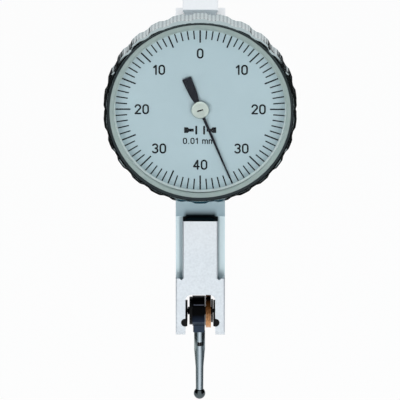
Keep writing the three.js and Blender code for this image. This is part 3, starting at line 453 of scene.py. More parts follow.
def layer(name, colour, roughness, shine=0.5, lift=0.4, grain=0.003, tones=(), **constants):
    """A thin coat; each pair in tones is a mask and the colour that it brings."""
    finish = Finish(name, Specular_IOR_Level=shine, **constants)
    cloud = finish.noise(1.5, 3.0)
    fine = finish.noise(0.08)
    base = finish.between(cloud, colour, scaled(colour, 1 + lift))
    finish.feed(
        Base_Color=finish.toned(base, tones),
        Roughness=(fine - 0.5) * 0.1 + roughness,
    )
    finish.bump(fine, grain)
    return finish.material


# Painted shade for the dovetails' flanks and the front pad's upper end.
flank_steel = layer("flank_steel", rgb(5, 7, 9), 0.5, 0.1)
black_oxide = layer("black_oxide", rgb(5, 5, 6), 0.4, 0.15)
slate_oxide = layer("slate_oxide", rgb(36, 50, 66), 0.26, Metallic=0.6)
# The drum's black carries a painted reflection on its lower side and a painted highlight line.
black_gloss = layer("black_gloss", rgb(1, 1, 2), 0.3, 0.04, grain=0.001,
                    tones=[(painted_lower_reflection, rgb(34, 44, 62)), (painted_highlight_line, rgb(132, 134, 150))])
hand_ink = layer("hand_ink", rgb(8, 12, 22), 0.5, 0.1, grain=0.001)
# A dark finish for the ring in the bezel's gap: a painted shadow.
gap_shadow_ring = layer("seal_black", rgb(44, 50, 52), 0.5, 0.3)
print_ink = layer("print_ink", rgb(6, 10, 16), 0.6, 0.1, grain=0)
ruby = layer("ruby", rgb(150, 20, 50), 0.1, lift=0.2, grain=0, Transmission_Weight=0.4)
print("finishes so far:", len(bpy.data.materials))

# %% [markdown]
# ## The dial's silvery paint
# The dial isn't white but a silvery blue grey with a faint sheen. A third
# metallic with a broad gloss takes light like a lacquer full of metal flakes.


# %% Dial paint
def dial_paint():
    finish = Finish("dial_silver", Metallic=0.3)
    flakes = finish.noise(0.06, 1.0)
    cloud = finish.noise(9.0)
    finish.feed(
        Base_Color=finish.between(cloud, rgb(168, 187, 194), rgb(176, 193, 199)),
        Roughness=flakes * 0.08 + 0.4,
    )
    finish.bump(flakes, 0.001)
    return finish.material


dial_silver = dial_paint()
print("dial paint nodes:", len(dial_silver.node_tree.nodes))

# %% [markdown]
# ## The crystal's acrylic
# The crystal is moulded acrylic. Cycles lets almost no lamp light through a
# refracting surface, so the dial under it would be dark. The usual way out is
# to let shadow and diffuse rays pass as if nothing were there. The rim is
# thick and a little frosted, so it gathers light and looks a pale grey green.


# %% Clear and frosted acrylic
def clear_acrylic():
    finish = Finish("clear_acrylic", Base_Color=rgb(250, 252, 251), Roughness=0.02,
                    IOR=1.3, Transmission_Weight=1.0)
    passing = finish.ray_is("Is Shadow Ray", "Is Diffuse Ray")
    finish.give_way(passing, finish.node("BsdfTransparent"))
    return finish.material


def frosted_acrylic():
    finish = Finish("frosted_acrylic", IOR=1.49, Transmission_Weight=0.25)
    cloud = finish.noise(1.2, 3.0)
    fine = finish.noise(0.1)
    finish.feed(
        Base_Color=finish.between(cloud, rgb(166, 184, 180), rgb(190, 201, 195)),
        Roughness=fine * 0.12 + 0.12,
    )
    finish.bump(fine, 0.003)
    return finish.material


crystal_clear = clear_acrylic()
crystal_rim = frosted_acrylic()
# The wall inside the rim is painted pale, a painted highlight.
crystal_wall = metal("crystal_wall", rgb(240, 246, 242), 0.3, tint=0.1, grain=0.001, share=0.25)
print("finishes now:", len(bpy.data.materials))

# %% [markdown]
# ## Putting a piece in the scene
# Each piece is a mesh with its finish that rides a body and may stand for a
# node of the frame. Its faces look outward, and smooth shading stops at its
# sharp edges, as it does on machined metal.

# %% Piece helpers
WELD = 0.0005


def linked(name, data):
    made = bpy.data.objects.new(name, data)
    bpy.context.scene.collection.objects.link(made)
    return made


def mesh_of(name, verts, faces):
    mesh = bpy.data.meshes.new(name)
    mesh.from_pydata([tuple(v) for v in verts], [], faces)
    return mesh


def piece(name, verts, faces, material, body, replaces=(), smooth=True):
    mesh = mesh_of(name, verts, faces)
    mesh.validate()
    for used in material if isinstance(material, list) else [material]:
        mesh.materials.append(used)
    mesh.polygons.foreach_set("use_smooth", [smooth] * len(mesh.polygons))
    made = linked(name, mesh)
    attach(made, body)
    if replaces:
        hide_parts(*replaces)
    return made


def reworked(made, work):
    """Opens a piece's mesh, lets work change it and writes it back."""
    edit = bmesh.new()
    edit.from_mesh(made.data)
    work(edit)
    edit.to_mesh(made.data)
    edit.free()


def outward(made):
    """Welds corners that coincide and turns every face outward."""
    def work(edit):
        bmesh.ops.remove_doubles(edit, verts=edit.verts, dist=WELD * MM)
        bmesh.ops.recalc_face_normals(edit, faces=edit.faces)
    reworked(made, work)


def crease(made, degrees):
    """Marks the edges sharper than this, so that smooth shading stops there."""
    limit = math.radians(degrees)

    def work(edit):
        for edge in edit.edges:
            edge.smooth = len(edge.link_faces) == 2 and edge.calc_face_angle(0) < limit
        for face in edit.faces:
            face.smooth = True
    reworked(made, work)


def choose_finish(made, choice):
    """Numbers each face's finish by its middle, in millimetres, and its normal."""
    for face in made.data.polygons:
        face.material_index = int(choice(face.center / MM, face.normal))


# %% [markdown]
# ## Turned parts
# The crystal, the hub, the stylus and the screws come off a lathe. A lathe
# part is a profile spun about an axis, so it is written as a list of radii and
# heights. Small arcs at its corners stand for the edges that a file breaks.

# %% Turned parts
TURNED_CREASE = 35
ON_AXIS = 1e-6
AXES = {
    "X": lambda r, h, a: (h, r * math.cos(a), r * math.sin(a)),
    "Y": lambda r, h, a: (r * math.sin(a), h, r * math.cos(a)),
    "Z": lambda r, h, a: (r * math.cos(a), r * math.sin(a), h),
}


def rounded(profile, radius, steps=3):
    """A closed profile with each corner turned into a small arc."""
    out = []
    count = len(profile)
    for i in range(count):
        here = Vector(profile[i])
        to_last = Vector(profile[i - 1]) - here
        to_next = Vector(profile[(i + 1) % count]) - here
        reach = min(radius, 0.45 * to_last.length, 0.45 * to_next.length)
        if here.x == 0 or reach < 0.001:
            out.append(tuple(here))
            continue
        start = here + to_last.normalized() * reach
        end = here + to_next.normalized() * reach
        for k in range(steps + 1):
            t = k / steps
            out.append(tuple(start * (1 - t) ** 2 + here * 2 * t * (1 - t) + end * t ** 2))
    return out


def ring(inner, outer, start, end):
    """The profile of a plain ring, or of a disc where inner is 0."""
    return [(inner, start), (outer, start), (outer, end), (inner, end)]


def turned(name, profile, axis, centre, material, body, replaces=(), facets=96,
           edge=0.0, open_profile=False):
    """Spins a profile of (radius, height), in millimetres, about an axis."""
    if edge:
        profile = rounded(profile, edge)
    rows = len(profile)
    last = rows - 1 if open_profile else rows
    verts, faces = [], []
    for k in range(facets):
        angle = 2 * math.pi * k / facets
        here, following = k * rows, ((k + 1) % facets) * rows
        for radius, height in profile:
            verts.append((Vector(centre) + Vector(AXES[axis](radius, height, angle))) * MM)
        for i in range(last):
            j = (i + 1) % rows
            if max(profile[i][0], profile[j][0]) >= ON_AXIS:
                faces.append((here + i, here + j, following + j, following + i))
    made = piece(name, verts, faces, material, body, replaces)
    outward(made)
    crease(made, TURNED_CREASE)
    return made


# %% [markdown]
# ## Cuts and milled parts
# A saw cut or a cross hole is taken out with a small solid. Milled parts exist
# in the frame, sharp edged, so they are copied and get a narrow bevel: a real
# edge is never a perfect line, and the thin bright line on it is what the eye
# reads as metal. Normals weighted by area keep the large faces flat beside it.

# %% Cuts and milled parts
FLAT_WITHIN = 0.5
MILLED_EDGE = 30
MILLED_CREASE = 28
BLOCK_FACES = [
    (0, 1, 3, 2), (4, 6, 7, 5), (0, 4, 5, 1), (2, 3, 7, 6), (0, 2, 6, 4), (1, 5, 7, 3),
]


def apply_modifiers(made):
    graph = bpy.context.evaluated_depsgraph_get()
    mesh = bpy.data.meshes.new_from_object(made.evaluated_get(graph))
    made.modifiers.clear()
    made.data = mesh


def cutter_block(low, high):
    corners = [Vector((x, y, z)) * MM for x in (low[0], high[0])
               for y in (low[1], high[1]) for z in (low[2], high[2])]
    made = linked("cutter", mesh_of("cutter", corners, BLOCK_FACES))
    outward(made)
    return made


def cut_away(made, cutters):
    """Cuts small solids out of a piece and removes them."""
    for cutter in cutters:
        cut = made.modifiers.new("cut", "BOOLEAN")
        cut.operation = "DIFFERENCE"
        cut.solver = "EXACT"
        cut.object = cutter
        apply_modifiers(made)
        bpy.data.objects.remove(cutter)
    crease(made, TURNED_CREASE)


def break_edges(made, width):
    bevel = made.modifiers.new("edge", "BEVEL")
    bevel.width = width * MM
    bevel.segments = 2
    bevel.limit_method = "ANGLE"
    bevel.angle_limit = math.radians(MILLED_EDGE)
    apply_modifiers(made)
    crease(made, MILLED_CREASE)
    flat = made.modifiers.new("flat", "WEIGHTED_NORMAL")
    flat.keep_sharp = True
    flat.weight = 100
    apply_modifiers(made)


def milled(node, material, edge, second=None, where=None):
    """A copy of a frame node with its edges broken, standing for that node."""
    made = linked(node + "_dressed", nodes[node].data.copy())
    made.data.materials.clear()
    made.data.materials.append(material)
    outward(made)
    reworked(made, lambda edit: bmesh.ops.dissolve_limit(
        edit, angle_limit=math.radians(FLAT_WITHIN), verts=edit.verts, edges=edit.edges
    ))
    break_edges(made, edge)
    if second:
        made.data.materials.append(second)
        choose_finish(made, where)
    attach(made, nodes[node]["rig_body"])
    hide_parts(node)
    return made


# %% [markdown]
# ## The frame and its rear cover
# The frame is one milled bar. Its faces are right already, so it only needs
# its edges broken and the blasted chrome. The dovetails' undercut flanks and
# the front one's upper end are painted dark, as painted shade.

# %% Frame pieces
DOVETAIL_ROOT = 2.1
TOP_DOVETAIL_FOOT = -2.4


def undercut(place, normal):
    """The dovetails' flanks, and the front one's upper end, which take painted shade."""
    sideways = abs(normal.x) > 0.7
    front = place.y < -DOVETAIL_ROOT and place.z > PAD_FOOT
    flank = front and sideways and normal.y > 0.3
    end = front and normal.z > 0.9 and abs(place.z - PAD_TOP) < 0.3
    rear = place.y > DOVETAIL_ROOT and sideways and normal.y < -0.3
    top = place.z > TOP_DOVETAIL_FOOT and sideways and normal.z < -0.3
    return flank or end or rear or top


for node_name, chrome in (("body_frame", body_chrome), ("rear_cover", satin_chrome)):
    made = milled(node_name, chrome, 0.09, second=flank_steel,
                  where=undercut)
    print(node_name, "faces:", len(made.data.polygons))

# %% [markdown]
# ## Finishes for the pieces that stay
# The movement is seen only through the fork and the frame's openings. Its
# pieces keep their shapes and take their metals. A name takes the first finish
# that has a word of it, so the ruby bushes come before the steel bearings.

# %% Finishes on the frame's own nodes
FINISH_OF = {
    ruby: ["pointer_bearing"],
    steel: ["screw", "bearing", "arbor", "motion_pin", "hairspring", "friction_ring"],
    gear_brass: ["crown_wheel", "sector_gear"],
    brass: ["cock", "movement_plate", "pillar", "stud", "collet"],
    black_oxide: ["fork_plate", "lever_axle", "clutch_nut", "clutch_washer"],
    bronze: ["motion_lever"],
    slate_oxide: ["stylus_holder"],
    stylus_steel: ["stylus_shank"],
    carbide: ["stylus_ball"],
    satin_chrome: ["case_cup"],
    dial_silver: ["dial_plate"],
    crystal_clear: ["crystal"],
    hand_ink: ["pointer_hand"],
    hub_steel: ["pointer_hub", "bezel_ring"],
}
finished = 0
for node_name, node in nodes.items():
    if node.hide_render:
        continue
    for material, words in FINISH_OF.items():
        if any(word in node_name for word in words):
            node.data.materials.clear()
            node.data.materials.append(material)
            finished += 1
            break
print("finished nodes:", finished)

# %% [markdown]
# ## The bezel's chrome
# The bezel is bright chrome. Its knurl's grooves are painted darker and are
# less glossy. The shape leaves a value at each corner, from 0 on a ridge to 1
# in a groove, and the finish reads it.


# %% Bezel finish
def bezel_chrome():
    finish = Finish("bezel_chrome", Metallic=1.0)
    groove = finish.value("Attribute", 2, {"attribute_name": "groove"})
    fine = finish.noise(0.15)
    finish.feed(
        # Darker in the knurl's grooves.
        Base_Color=finish.between(groove.clamped(), rgb(172, 187, 190), rgb(140, 153, 158)),
        Roughness=fine * 0.06 + groove * 0.12 + 0.13,
    )
    finish.bump(fine, 0.001)
    return finish.material


bright_chrome = bezel_chrome()
dial_axis = middle_of("dial_plate")
DIAL = (0.0, 0.0, dial_axis.z)
print("dial axis at z", round(dial_axis.z, 3), "mm")

# %% [markdown]
# ## The bezel and the dark ring in its gap
# The bezel is what a hand turns, so its edge is cut with 26 lobes, and the
# whole edge carries a fine straight knurl. Both are real shape here: at each
# angle the outer radius is the lobe's height less the knurl's depth. A thin
# dark ring fills the gap between the bezel and the crystal, a painted shadow in
# that gap.

# %% Bezel shape
LOBES = 26
RIDGES_PER_LOBE = 6
STEPS_PER_RIDGE = 8
LOBE_TOP, LOBE_FOOT = 0.42, 0.78
RIM_RADIUS, VALLEY_RADIUS = 16.25, 16.0
SEAT_RADIUS, BORE_RADIUS = 15.43, 14.88
FRONT_PLANE, SIDE_PLANE, SEAT_PLANE, REAR_PLANE = -11.08, -10.75, -8.68, -6.3
GAP_FLOOR = -10.2
KNURL_DEPTH = 0.045
BEZEL_CREASE = 30
BEZEL_ROWS = [  # radius, y, share of the lobe and of the knurl, round the section
    (SEAT_RADIUS, SEAT_PLANE, 0, 0), (SEAT_RADIUS, GAP_FLOOR, 0, 0),
    (15.62, GAP_FLOOR, 0, 0), (15.62, FRONT_PLANE + 0.04, 0, 0),
    (15.66, FRONT_PLANE, 0, 0), (15.74, FRONT_PLANE + 0.01, 0.1, 0),
    (15.88, FRONT_PLANE + 0.12, 0.5, 0), (15.96, SIDE_PLANE - 0.1, 0.8, 0),
    (VALLEY_RADIUS, SIDE_PLANE + 0.04, 1, 0), (VALLEY_RADIUS, SIDE_PLANE + 0.2, 1, 0),
    *((VALLEY_RADIUS, y, 1, 1) for y in (SIDE_PLANE + 0.28, -9.0, -8.2, -7.5, -7.14)),
    (VALLEY_RADIUS, -7.06, 1, 0), (15.95, -6.92, 0.4, 0), (15.32, REAR_PLANE, 0, 0),
    (BORE_RADIUS, REAR_PLANE, 0, 0), (BORE_RADIUS, SEAT_PLANE, 0, 0),
]


def lobe_height(share):
    """From 0 in a valley to 1 on a lobe, for a place from -0.5 to 0.5 of the pitch."""
    off = abs(share) * 2
    return min(1.0, max(0.0, (LOBE_FOOT - off) / (LOBE_FOOT - LOBE_TOP)))


def make_bezel():
    n = len(BEZEL_ROWS)
    count = LOBES * RIDGES_PER_LOBE * STEPS_PER_RIDGE
    verts, faces, darkening = [], [], []
    for k in range(count):
        here, following = k * n, ((k + 1) % count) * n
        share = (k / count * LOBES + 0.5) % 1 - 0.5
        groove = abs((k / STEPS_PER_RIDGE) % 1 - 0.5) * 2
        lift = lobe_height(share) * (RIM_RADIUS - VALLEY_RADIUS)
        angle = 2 * math.pi * k / count
        for i, (radius, height, lobed, knurled) in enumerate(BEZEL_ROWS):
            r = radius + lobed * lift - knurled * KNURL_DEPTH * groove
            verts.append(Vector((r * math.sin(angle), height,
                                 r * math.cos(angle) + DIAL[2])) * MM)
            # How much darker the knurl's grooves are painted.
            darkening.append(knurled * max(0.0, groove * 1.7 - 0.5))
            j = (i + 1) % n
            faces.append((here + i, here + j, following + j, following + i))
    made = piece("bezel_knurled", verts, faces, bright_chrome, "bezel", ("bezel_ring",))
    value = made.data.attributes.new("groove", "FLOAT", "POINT")
    value.data.foreach_set("value", darkening)
    outward(made)
    crease(made, BEZEL_CREASE)
    return made


bezel = make_bezel()
# A dark ring in the gap between bezel and crystal: a painted shadow.
GAP_FOOT = GAP_FLOOR - 0.02
gap_ring = turned("crystal_seal", [
    (15.41, GAP_FOOT), (15.41, -10.62), (15.2, -10.67), (15.24, -10.72),
    (15.5, -10.86), (15.61, -10.92), (15.61, GAP_FOOT),
], "Y", DIAL, gap_shadow_ring, "bezel", edge=0.04, facets=160)
print("bezel corners:", len(bezel.data.vertices), "seal corners:", len(gap_ring.data.vertices))

# %% [markdown]
# ## The crystal
# The crystal is a spun profile: a straight side, a wide bevel and a low dome,
# hollow behind. One profile carries three finishes, told apart by radius and
# depth: the clear window, the frosted rim and the wall inside it, painted pale
# as a painted highlight.

# %% Crystal
BEVEL_RADIUS = 14.4
WALL_RADIUS, WALL_FOOT = 14.4, 14.18
CRYSTAL_FOOT, CRYSTAL_SIDE = -9.13, -10.58
CROWN = 0.28
DOME_STEPS = 12


def dome(radius, plane):
    """A low crown over a plane, from its edge to the axis."""
    shares = [k / DOME_STEPS for k in range(DOME_STEPS + 1)]
    return [(radius * (1 - s), plane - CROWN * (1 - (1 - s) ** 2)) for s in shares]


def crystal_part(place, normal):
    """0 for the clear window, 1 for the frosted rim, 2 for the wall inside it, painted pale as
    a painted highlight.
    """
    radius = math.hypot(place.x, place.z - DIAL[2])
    if place.y > -10.0 and radius < WALL_RADIUS:
        return 2
    return radius > BEVEL_RADIUS - 0.02


crystal = turned("crystal_cover", [
    (15.4, CRYSTAL_FOOT), (15.4, CRYSTAL_SIDE), (15.34, CRYSTAL_SIDE - 0.06),
    (BEVEL_RADIUS + 0.17, -10.68), (BEVEL_RADIUS + 0.03, -10.87),
    *dome(BEVEL_RADIUS - 0.06, -10.9), *dome(13.9, -10.05)[::-1],
    (14.3, -10.05), (WALL_RADIUS, -9.97), (WALL_FOOT, CRYSTAL_FOOT),
], "Y", DIAL, [crystal_clear, crystal_rim, crystal_wall], "bezel", ("crystal",), facets=192)
choose_finish(crystal, crystal_part)
print("crystal faces:", len(crystal.data.polygons))

# %% [markdown]
# ## The dial plate, the hub and the hand
# The dial is a thin disc. The hub has a saw cut across its face, so it is spun
# and cut. The hand is a flat stamping with a broad tail that balances it, so
# it is an outline pushed to a thickness, and turned to the angle of its rest.

# %% Dial plate and hub
dial = turned("dial_face", ring(0.8, 15.38, -8.7, -9.1), "Y", DIAL, dial_silver, "bezel",
              ("dial_plate",), facets=160, edge=0.02)
hub = turned("hand_hub", [
    (0, -9.84), (0.88, -9.84), (0.92, -9.81), (0.98, -9.82), (1.34, -9.8),
    (1.5, -9.66), (1.5, -9.56), (0, -9.56),
], "Y", DIAL, hub_steel, "pointer", ("pointer_hub",), facets=64, edge=0.02)
SLOT_TILT = math.radians(17)
SLOT_FLOOR = -9.76
hub_slot = cutter_block((-0.52, -9.9, -0.12), (0.52, SLOT_FLOOR, 0.12))
hub_place = Matrix.Translation(Vector(DIAL) * MM)
hub_slot.data.transform(hub_place @ Matrix.Rotation(-SLOT_TILT, 4, "Y"))
cut_away(hub, [hub_slot])
# The slot's floor takes black oxide: painted shade in the cut.
hub.data.materials.append(black_oxide)
choose_finish(hub, lambda place, normal: abs(place.y - SLOT_FLOOR) < 0.01)
print("dial faces:", len(dial.data.polygons), "hub faces:", len(hub.data.polygons))

# %% Hand
REST_ANGLE = math.radians(157.5)
HAND_FRONT, HAND_REAR = -9.52, -9.4
HAND_HALVES = [(0.12, 13.0), (0.25, 1.2), (0.36, -1.2), (0.6, -2.3), (0.71, -3.05),
               (0.78, -4.7), (0.8, -5.9), (0.72, -6.0)]  # half width, place along it


def hand_blade():
    outline = HAND_HALVES + [(-half, along) for half, along in HAND_HALVES[::-1]]
    count = len(outline)
    turn = Matrix.Rotation(REST_ANGLE, 4, "Y")
    verts = [
        (turn @ Vector((x, y, z)) + Vector(DIAL)) * MM
        for y in (HAND_FRONT, HAND_REAR) for x, z in outline
    ]
    faces = [tuple(range(count)), tuple(range(count, 2 * count))]
    faces += [(i, (i + 1) % count, (i + 1) % count + count, i + count) for i in range(count)]
    outward(piece("hand_blade", verts, faces, hand_ink, "pointer", ("pointer_hand",),
                  smooth=False))


hand_blade()
turned("hand_root", ring(0.32, 0.9, HAND_FRONT, HAND_REAR), "Y", DIAL, hand_ink,
       "pointer", facets=48)
print("hand's middle:", middle_of("pointer_hand"))

# %% [markdown]
# ## The printing
# The dial reads 0 to 40 and back in hundredths of a millimetre: 80 divisions
# of 4.5 degrees, longer at every fifth. The marks are flat shapes a hundredth
# of a millimetre proud of the paint. Figures are strokes of one width with
# round ends, as such narrow dial figures are engraved, so no font is needed.


# %% Strokes
def arc(cx, cy, rx, ry, start, end, steps=10):
    angles = [math.radians(start + (end - start) * k / steps) for k in range(steps + 1)]
    return [(cx + rx * math.cos(a), cy + ry * math.sin(a)) for a in angles]


GLYPHS = {
    "0": [arc(0.28, 0.72, 0.28, 0.28, 0, 180) + arc(0.28, 0.28, 0.28, 0.28, 180, 360)
          + [(0.56, 0.72)]],
    "1": [[(0.06, 0.78), (0.3, 1.0), (0.3, 0.0)]],
    "2": [arc(0.28, 0.72, 0.28, 0.28, 170, -20) + [(0.0, 0.0), (0.56, 0.0)]],
    "3": [arc(0.27, 0.75, 0.27, 0.25, 150, -80) + arc(0.27, 0.27, 0.29, 0.27, 80, -150)],
    "4": [[(0.42, 0.0), (0.42, 1.0), (0.0, 0.28), (0.58, 0.28)]],
    ".": [[(0.08, 0.0), (0.1, 0.0)]],
    "m": [[(0.0, 0.0), (0.0, 0.7)], arc(0.22, 0.5, 0.22, 0.2, 180, 0) + [(0.44, 0.0)],
          arc(0.66, 0.5, 0.22, 0.2, 180, 0) + [(0.88, 0.0)]],
    " ": [],
}
FIGURE_WIDTH = 0.56
WIDTHS = {".": 0.2, "m": 0.88, "1": 0.36, " ": 0.3}
LETTER_GAP = 0.3
PRINT_PLANE = -9.108


class Print:
    """Flat shapes on the dial, in millimetres from its middle, x right and z up."""

    def __init__(self):
        self.verts = []
        self.faces = []

    def shape(self, points):
        start = len(self.verts)
        self.verts += [Vector((x, PRINT_PLANE, z + DIAL[2])) * MM for x, z in points]
        self.faces.append(tuple(range(start, start + len(points))))

    def stroke(self, points, width, ends=6):
        """A line of one width with round ends, drawn piece by piece."""
        for (x0, z0), (x1, z1) in zip(points, points[1:]):
            if math.hypot(x1 - x0, z1 - z0) < 1e-6:
                continue
            turn = math.atan2(z1 - z0, x1 - x0)
            outline = []
            for cx, cz, first in ((x1, z1, turn - math.pi / 2), (x0, z0, turn + math.pi / 2)):
                for k in range(ends + 1):
                    a = first + math.pi * k / ends
                    outline.append((cx + width / 2 * math.cos(a), cz + width / 2 * math.sin(a)))
            self.shape(outline)

    def text(self, words, x, z, height, width):
        """Words about a middle; a glyph's unit is the height less one stroke."""
        tall = height - width
        foot = z - tall / 2
        widths = [WIDTHS.get(letter, FIGURE_WIDTH) for letter in words]
        pen = x - (sum(widths) + LETTER_GAP * (len(words) - 1)) * tall / 2
        for letter, letter_width in zip(words, widths):
            for line in GLYPHS[letter]:
                self.stroke([(pen + px * tall, foot + pz * tall) for px, pz in line], width)
            pen += (letter_width + LETTER_GAP) * tall


# %% [markdown]
# ## What the dial says
# Divisions run round the rim and the figures stand upright inside them. Under
# the hub two small marks show which way the stylus swings, over the value of
# one division. One mesh holds all of it.

# %% Divisions, figures and direction marks
DIVISIONS = 80
TICK_OUTER, TICK_MINOR, TICK_MAJOR = 14.15, 12.3, 11.7
MINOR_WIDTH, MAJOR_WIDTH = 0.22, 0.26
FIGURES = ["0", "10", "20", "30", "40", "30", "20", "10"]
FIGURE_RADIUS, FIGURE_HEIGHT, FIGURE_STROKE = 9.8, 1.8, 0.29
MARK_Z, BAR_HALF, BAR_WIDTH = -3.68, 0.63, 0.33
UNIT_X, UNIT_Z, UNIT_HEIGHT, UNIT_STROKE = -0.24, -5.58, 1.12, 0.19


def tick(print_on, index):
    angle = 2 * math.pi * index / DIVISIONS
    major = index % 5 == 0
    inner = TICK_MAJOR if major else TICK_MINOR
    half = (MAJOR_WIDTH if major else MINOR_WIDTH) / 2
    along = (math.sin(angle), math.cos(angle))
    print_on.shape([
        (along[0] * r + s * along[1] * half, along[1] * r - s * along[0] * half)
        for r, s in ((inner, -1), (inner, 1), (TICK_OUTER, 1), (TICK_OUTER, -1))
    ])


def direction_mark(print_on, side):
    """A lever touching a wall: which way the stylus swings."""
    wall, foot, tip = side * 0.66, side * 2.7, side * 1.08
    neck, shoulder = foot - side * 0.8, foot - side * 0.62
    print_on.stroke([(wall, MARK_Z + BAR_HALF), (wall, MARK_Z - BAR_HALF)], BAR_WIDTH)
    upper = [(foot, 0.5), (shoulder, 0.5), (neck, 0.27), (tip, 0.25)]
    lower = [(x, -off) for x, off in upper[::-1]]
    print_on.shape([(x, MARK_Z + off) for x, off in upper + lower])


dial_print = Print()
for index in range(DIVISIONS):
    tick(dial_print, index)
for index, figure in enumerate(FIGURES):
    angle = 2 * math.pi * index / len(FIGURES)
    dial_print.text(figure, FIGURE_RADIUS * math.sin(angle), FIGURE_RADIUS * math.cos(angle),
                    FIGURE_HEIGHT, FIGURE_STROKE)
for side in (-1, 1):
    direction_mark(dial_print, side)
dial_print.text("0.01 mm", UNIT_X, UNIT_Z, UNIT_HEIGHT, UNIT_STROKE)
printing = piece("dial_print", dial_print.verts, dial_print.faces, print_ink, "bezel",
                 smooth=False)
print("printed shapes:", len(printing.data.polygons))

# %% [markdown]
# ## The fork
# The stylus drum, the bronze lever's foot, the thin nut and the black plates
# are small turned and stamped parts, with their edges broken. A thin black
# flange on the axle closes the drum's left side.

# %% Fork pieces
FORK = (0.0, 0.0, -55.1)
DRUM_FOOT = -56.6
milled("stylus_holder", slate_oxide, 0.06, second=black_gloss,
       where=lambda place, normal: place.z > DRUM_FOOT)
for node_name in ("fork_plate_left", "fork_plate_right", "lever_axle", "clutch_nut"):
    milled(node_name, black_oxide, 0.03)
milled("motion_lever", bronze, 0.05)
spacer = turned("flange_spacer", ring(0.7, 2.36, -1.43, -1.35), "X", FORK, black_oxide,
                nodes["lever_axle"]["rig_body"])
print("spacer faces:", len(spacer.data.polygons))

# %% [markdown]
# ## The stylus
# The stylus is ground steel with a hard metal ball. Both are spun finely,
# because a long highlight shows every facet. The collar's two flats for a
# spanner and its cross hole are cut out.

# %% Stylus pieces
STYLUS = (BALL_X, 0.0, 0.0)
COLLAR_TOP = SHANK_TOP - 1.5
TAPER_TOP = COLLAR_TOP - 3.45
HOLE_RADIUS = 0.36
BALL_RADIUS, BALL_STEPS = 1.0, 24
SHANK = [
    (0, SHANK_TOP), (0.5, SHANK_TOP), (0.5, COLLAR_TOP), (0.93, COLLAR_TOP),
    (0.95, COLLAR_TOP - 0.03), (0.95, TAPER_TOP + 0.06), (0.93, TAPER_TOP - 0.1),
    (0.7, TAPER_TOP - 2.8), (0.68, TAPER_TOP - 3.0), (0.64, BALL_Z + 0.8), (0, BALL_Z + 1.02),
]


def in_hole(place, normal):
    off = place - Vector((BALL_X, 0, STYLUS_HOLE))
    return math.hypot(off.x, off.z) < HOLE_RADIUS + 0.01 and abs(normal.y) < 0.3


shank = turned("stylus_shank_turned", SHANK, "Z", STYLUS, stylus_steel, "stylus",
               ("stylus_shank",), facets=64)
hole = turned("hole_tool", ring(0, HOLE_RADIUS, -2, 2), "Y", (BALL_X, 0, STYLUS_HOLE), steel,
              "stylus", facets=32)
flats = [cutter_block((-1.5, low, COLLAR_TOP - 1.8), (1.5, high, COLLAR_TOP + 0.02))
         for low, high in ((-1.5, -0.9), (0.9, 1.5))]
cut_away(shank, [hole, *flats])
# The cross hole's inside takes black oxide: painted shade in the hole.
shank.data.materials.append(black_oxide)
choose_finish(shank, in_hole)
ball_angles = [math.pi * k / BALL_STEPS for k in range(BALL_STEPS + 1)]
turned("stylus_ball_ground", [
    (BALL_RADIUS * math.sin(a), BALL_Z - BALL_RADIUS * math.cos(a)) for a in ball_angles
], "Z", STYLUS, carbide, "stylus", ("stylus_ball",), facets=48, open_profile=True)
print("ball at x", round(BALL_X, 2), "and z", round(BALL_Z, 2), "mm")

# %% [markdown]
# ## The case
# From behind, the round case is the largest shape. It is a turned pot with a
# window for the gears and holes for its screws, all cut in the frame's own
# node, so it takes that shape with its edges broken.

# %% Case cup
case = milled("case_cup", satin_chrome, 0.05)
print("case faces:", len(case.data.polygons))

# %% [markdown]
# ## Screws
# The cover's sunk screws and the bearing screws in the frame's sides are the
# only fasteners that show. Each is spun and its head is sawn across.

# %% Slotted screws
SAW_HALF, SAW_DEPTH, SAW_REACH = 0.09, 0.18, 1.2
SUNK = [(0, 0), (0.71, 0), (0.74, 0.03), (0.42, 0.45), (0.4, 0.5), (0.4, 2.38), (0, 2.38)]


def slotted(node, axis, side, profile):
    """A turned screw for a node; the profile's depths run inwards from its head."""
    low, high = box_mm(node)
    centre = (low + high) / 2
    along = "XYZ".index(axis)
    head = (high if side > 0 else low)[along]
    place, saw = centre.copy(), centre.copy()
    place[along], saw[along] = 0, head
    heights = [(radius, head - side * depth) for radius, depth in profile]
    made = turned(node + "_turned", heights, axis, place, steel, nodes[node]["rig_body"],
                  (node,), facets=48)
    half = Vector([SAW_HALF] * 3)
    half["XYZ".index("Z" if axis == "X" else "X")] = SAW_REACH
    half[along] = SAW_DEPTH
    cut_away(made, [cutter_block(saw - half, saw + half)])
    return made


def bearing_screw(node):
    low, high = box_mm(node)
    radius, length = (high.z - low.z) / 2, high.x - low.x
    return slotted(node, "X", -1 if node.endswith("left") else 1, [
        (0, 0), (radius - 0.05, 0), (radius - 0.01, 0.04), (radius - 0.01, length),
        (0.45, length), (0.45, length - 0.6), (0, length - 0.6),
    ])


for node_name in nodes:
    if node_name.startswith("cover_screw"):
        slotted(node_name, "Y", 1, SUNK)
    elif node_name.endswith(("_bearing_left", "_bearing_right")):
        bearing_screw(node_name)

# %% [markdown]
# ## Floor and cards
# The photograph shows the gauge upright against white. The floor is pale and
# keeps the gauge's shadow; rays from the camera and from metal or glass see it
# as white. Black cards stand at the sides, in front, behind and low down, and
# a dim blue one lies under the neck. They are seen only in reflections:
# without them polished metal against white has no edges.

# %% Floor and cards
FLOOR_Z, FLOOR_HALF = -100.0, 3000.0
FLOOR_GLOW = 0.96
WHITE = (1, 1, 1, 1)
SEEN_RAYS = ("Is Camera Ray", "Is Glossy Ray", "Is Transmission Ray")


def stage_sheet(name, corners, material):
    mesh = mesh_of(name, [Vector(c) * MM for c in corners], [tuple(range(len(corners)))])
    mesh.materials.append(material)
    made = linked(name, mesh)
    return made


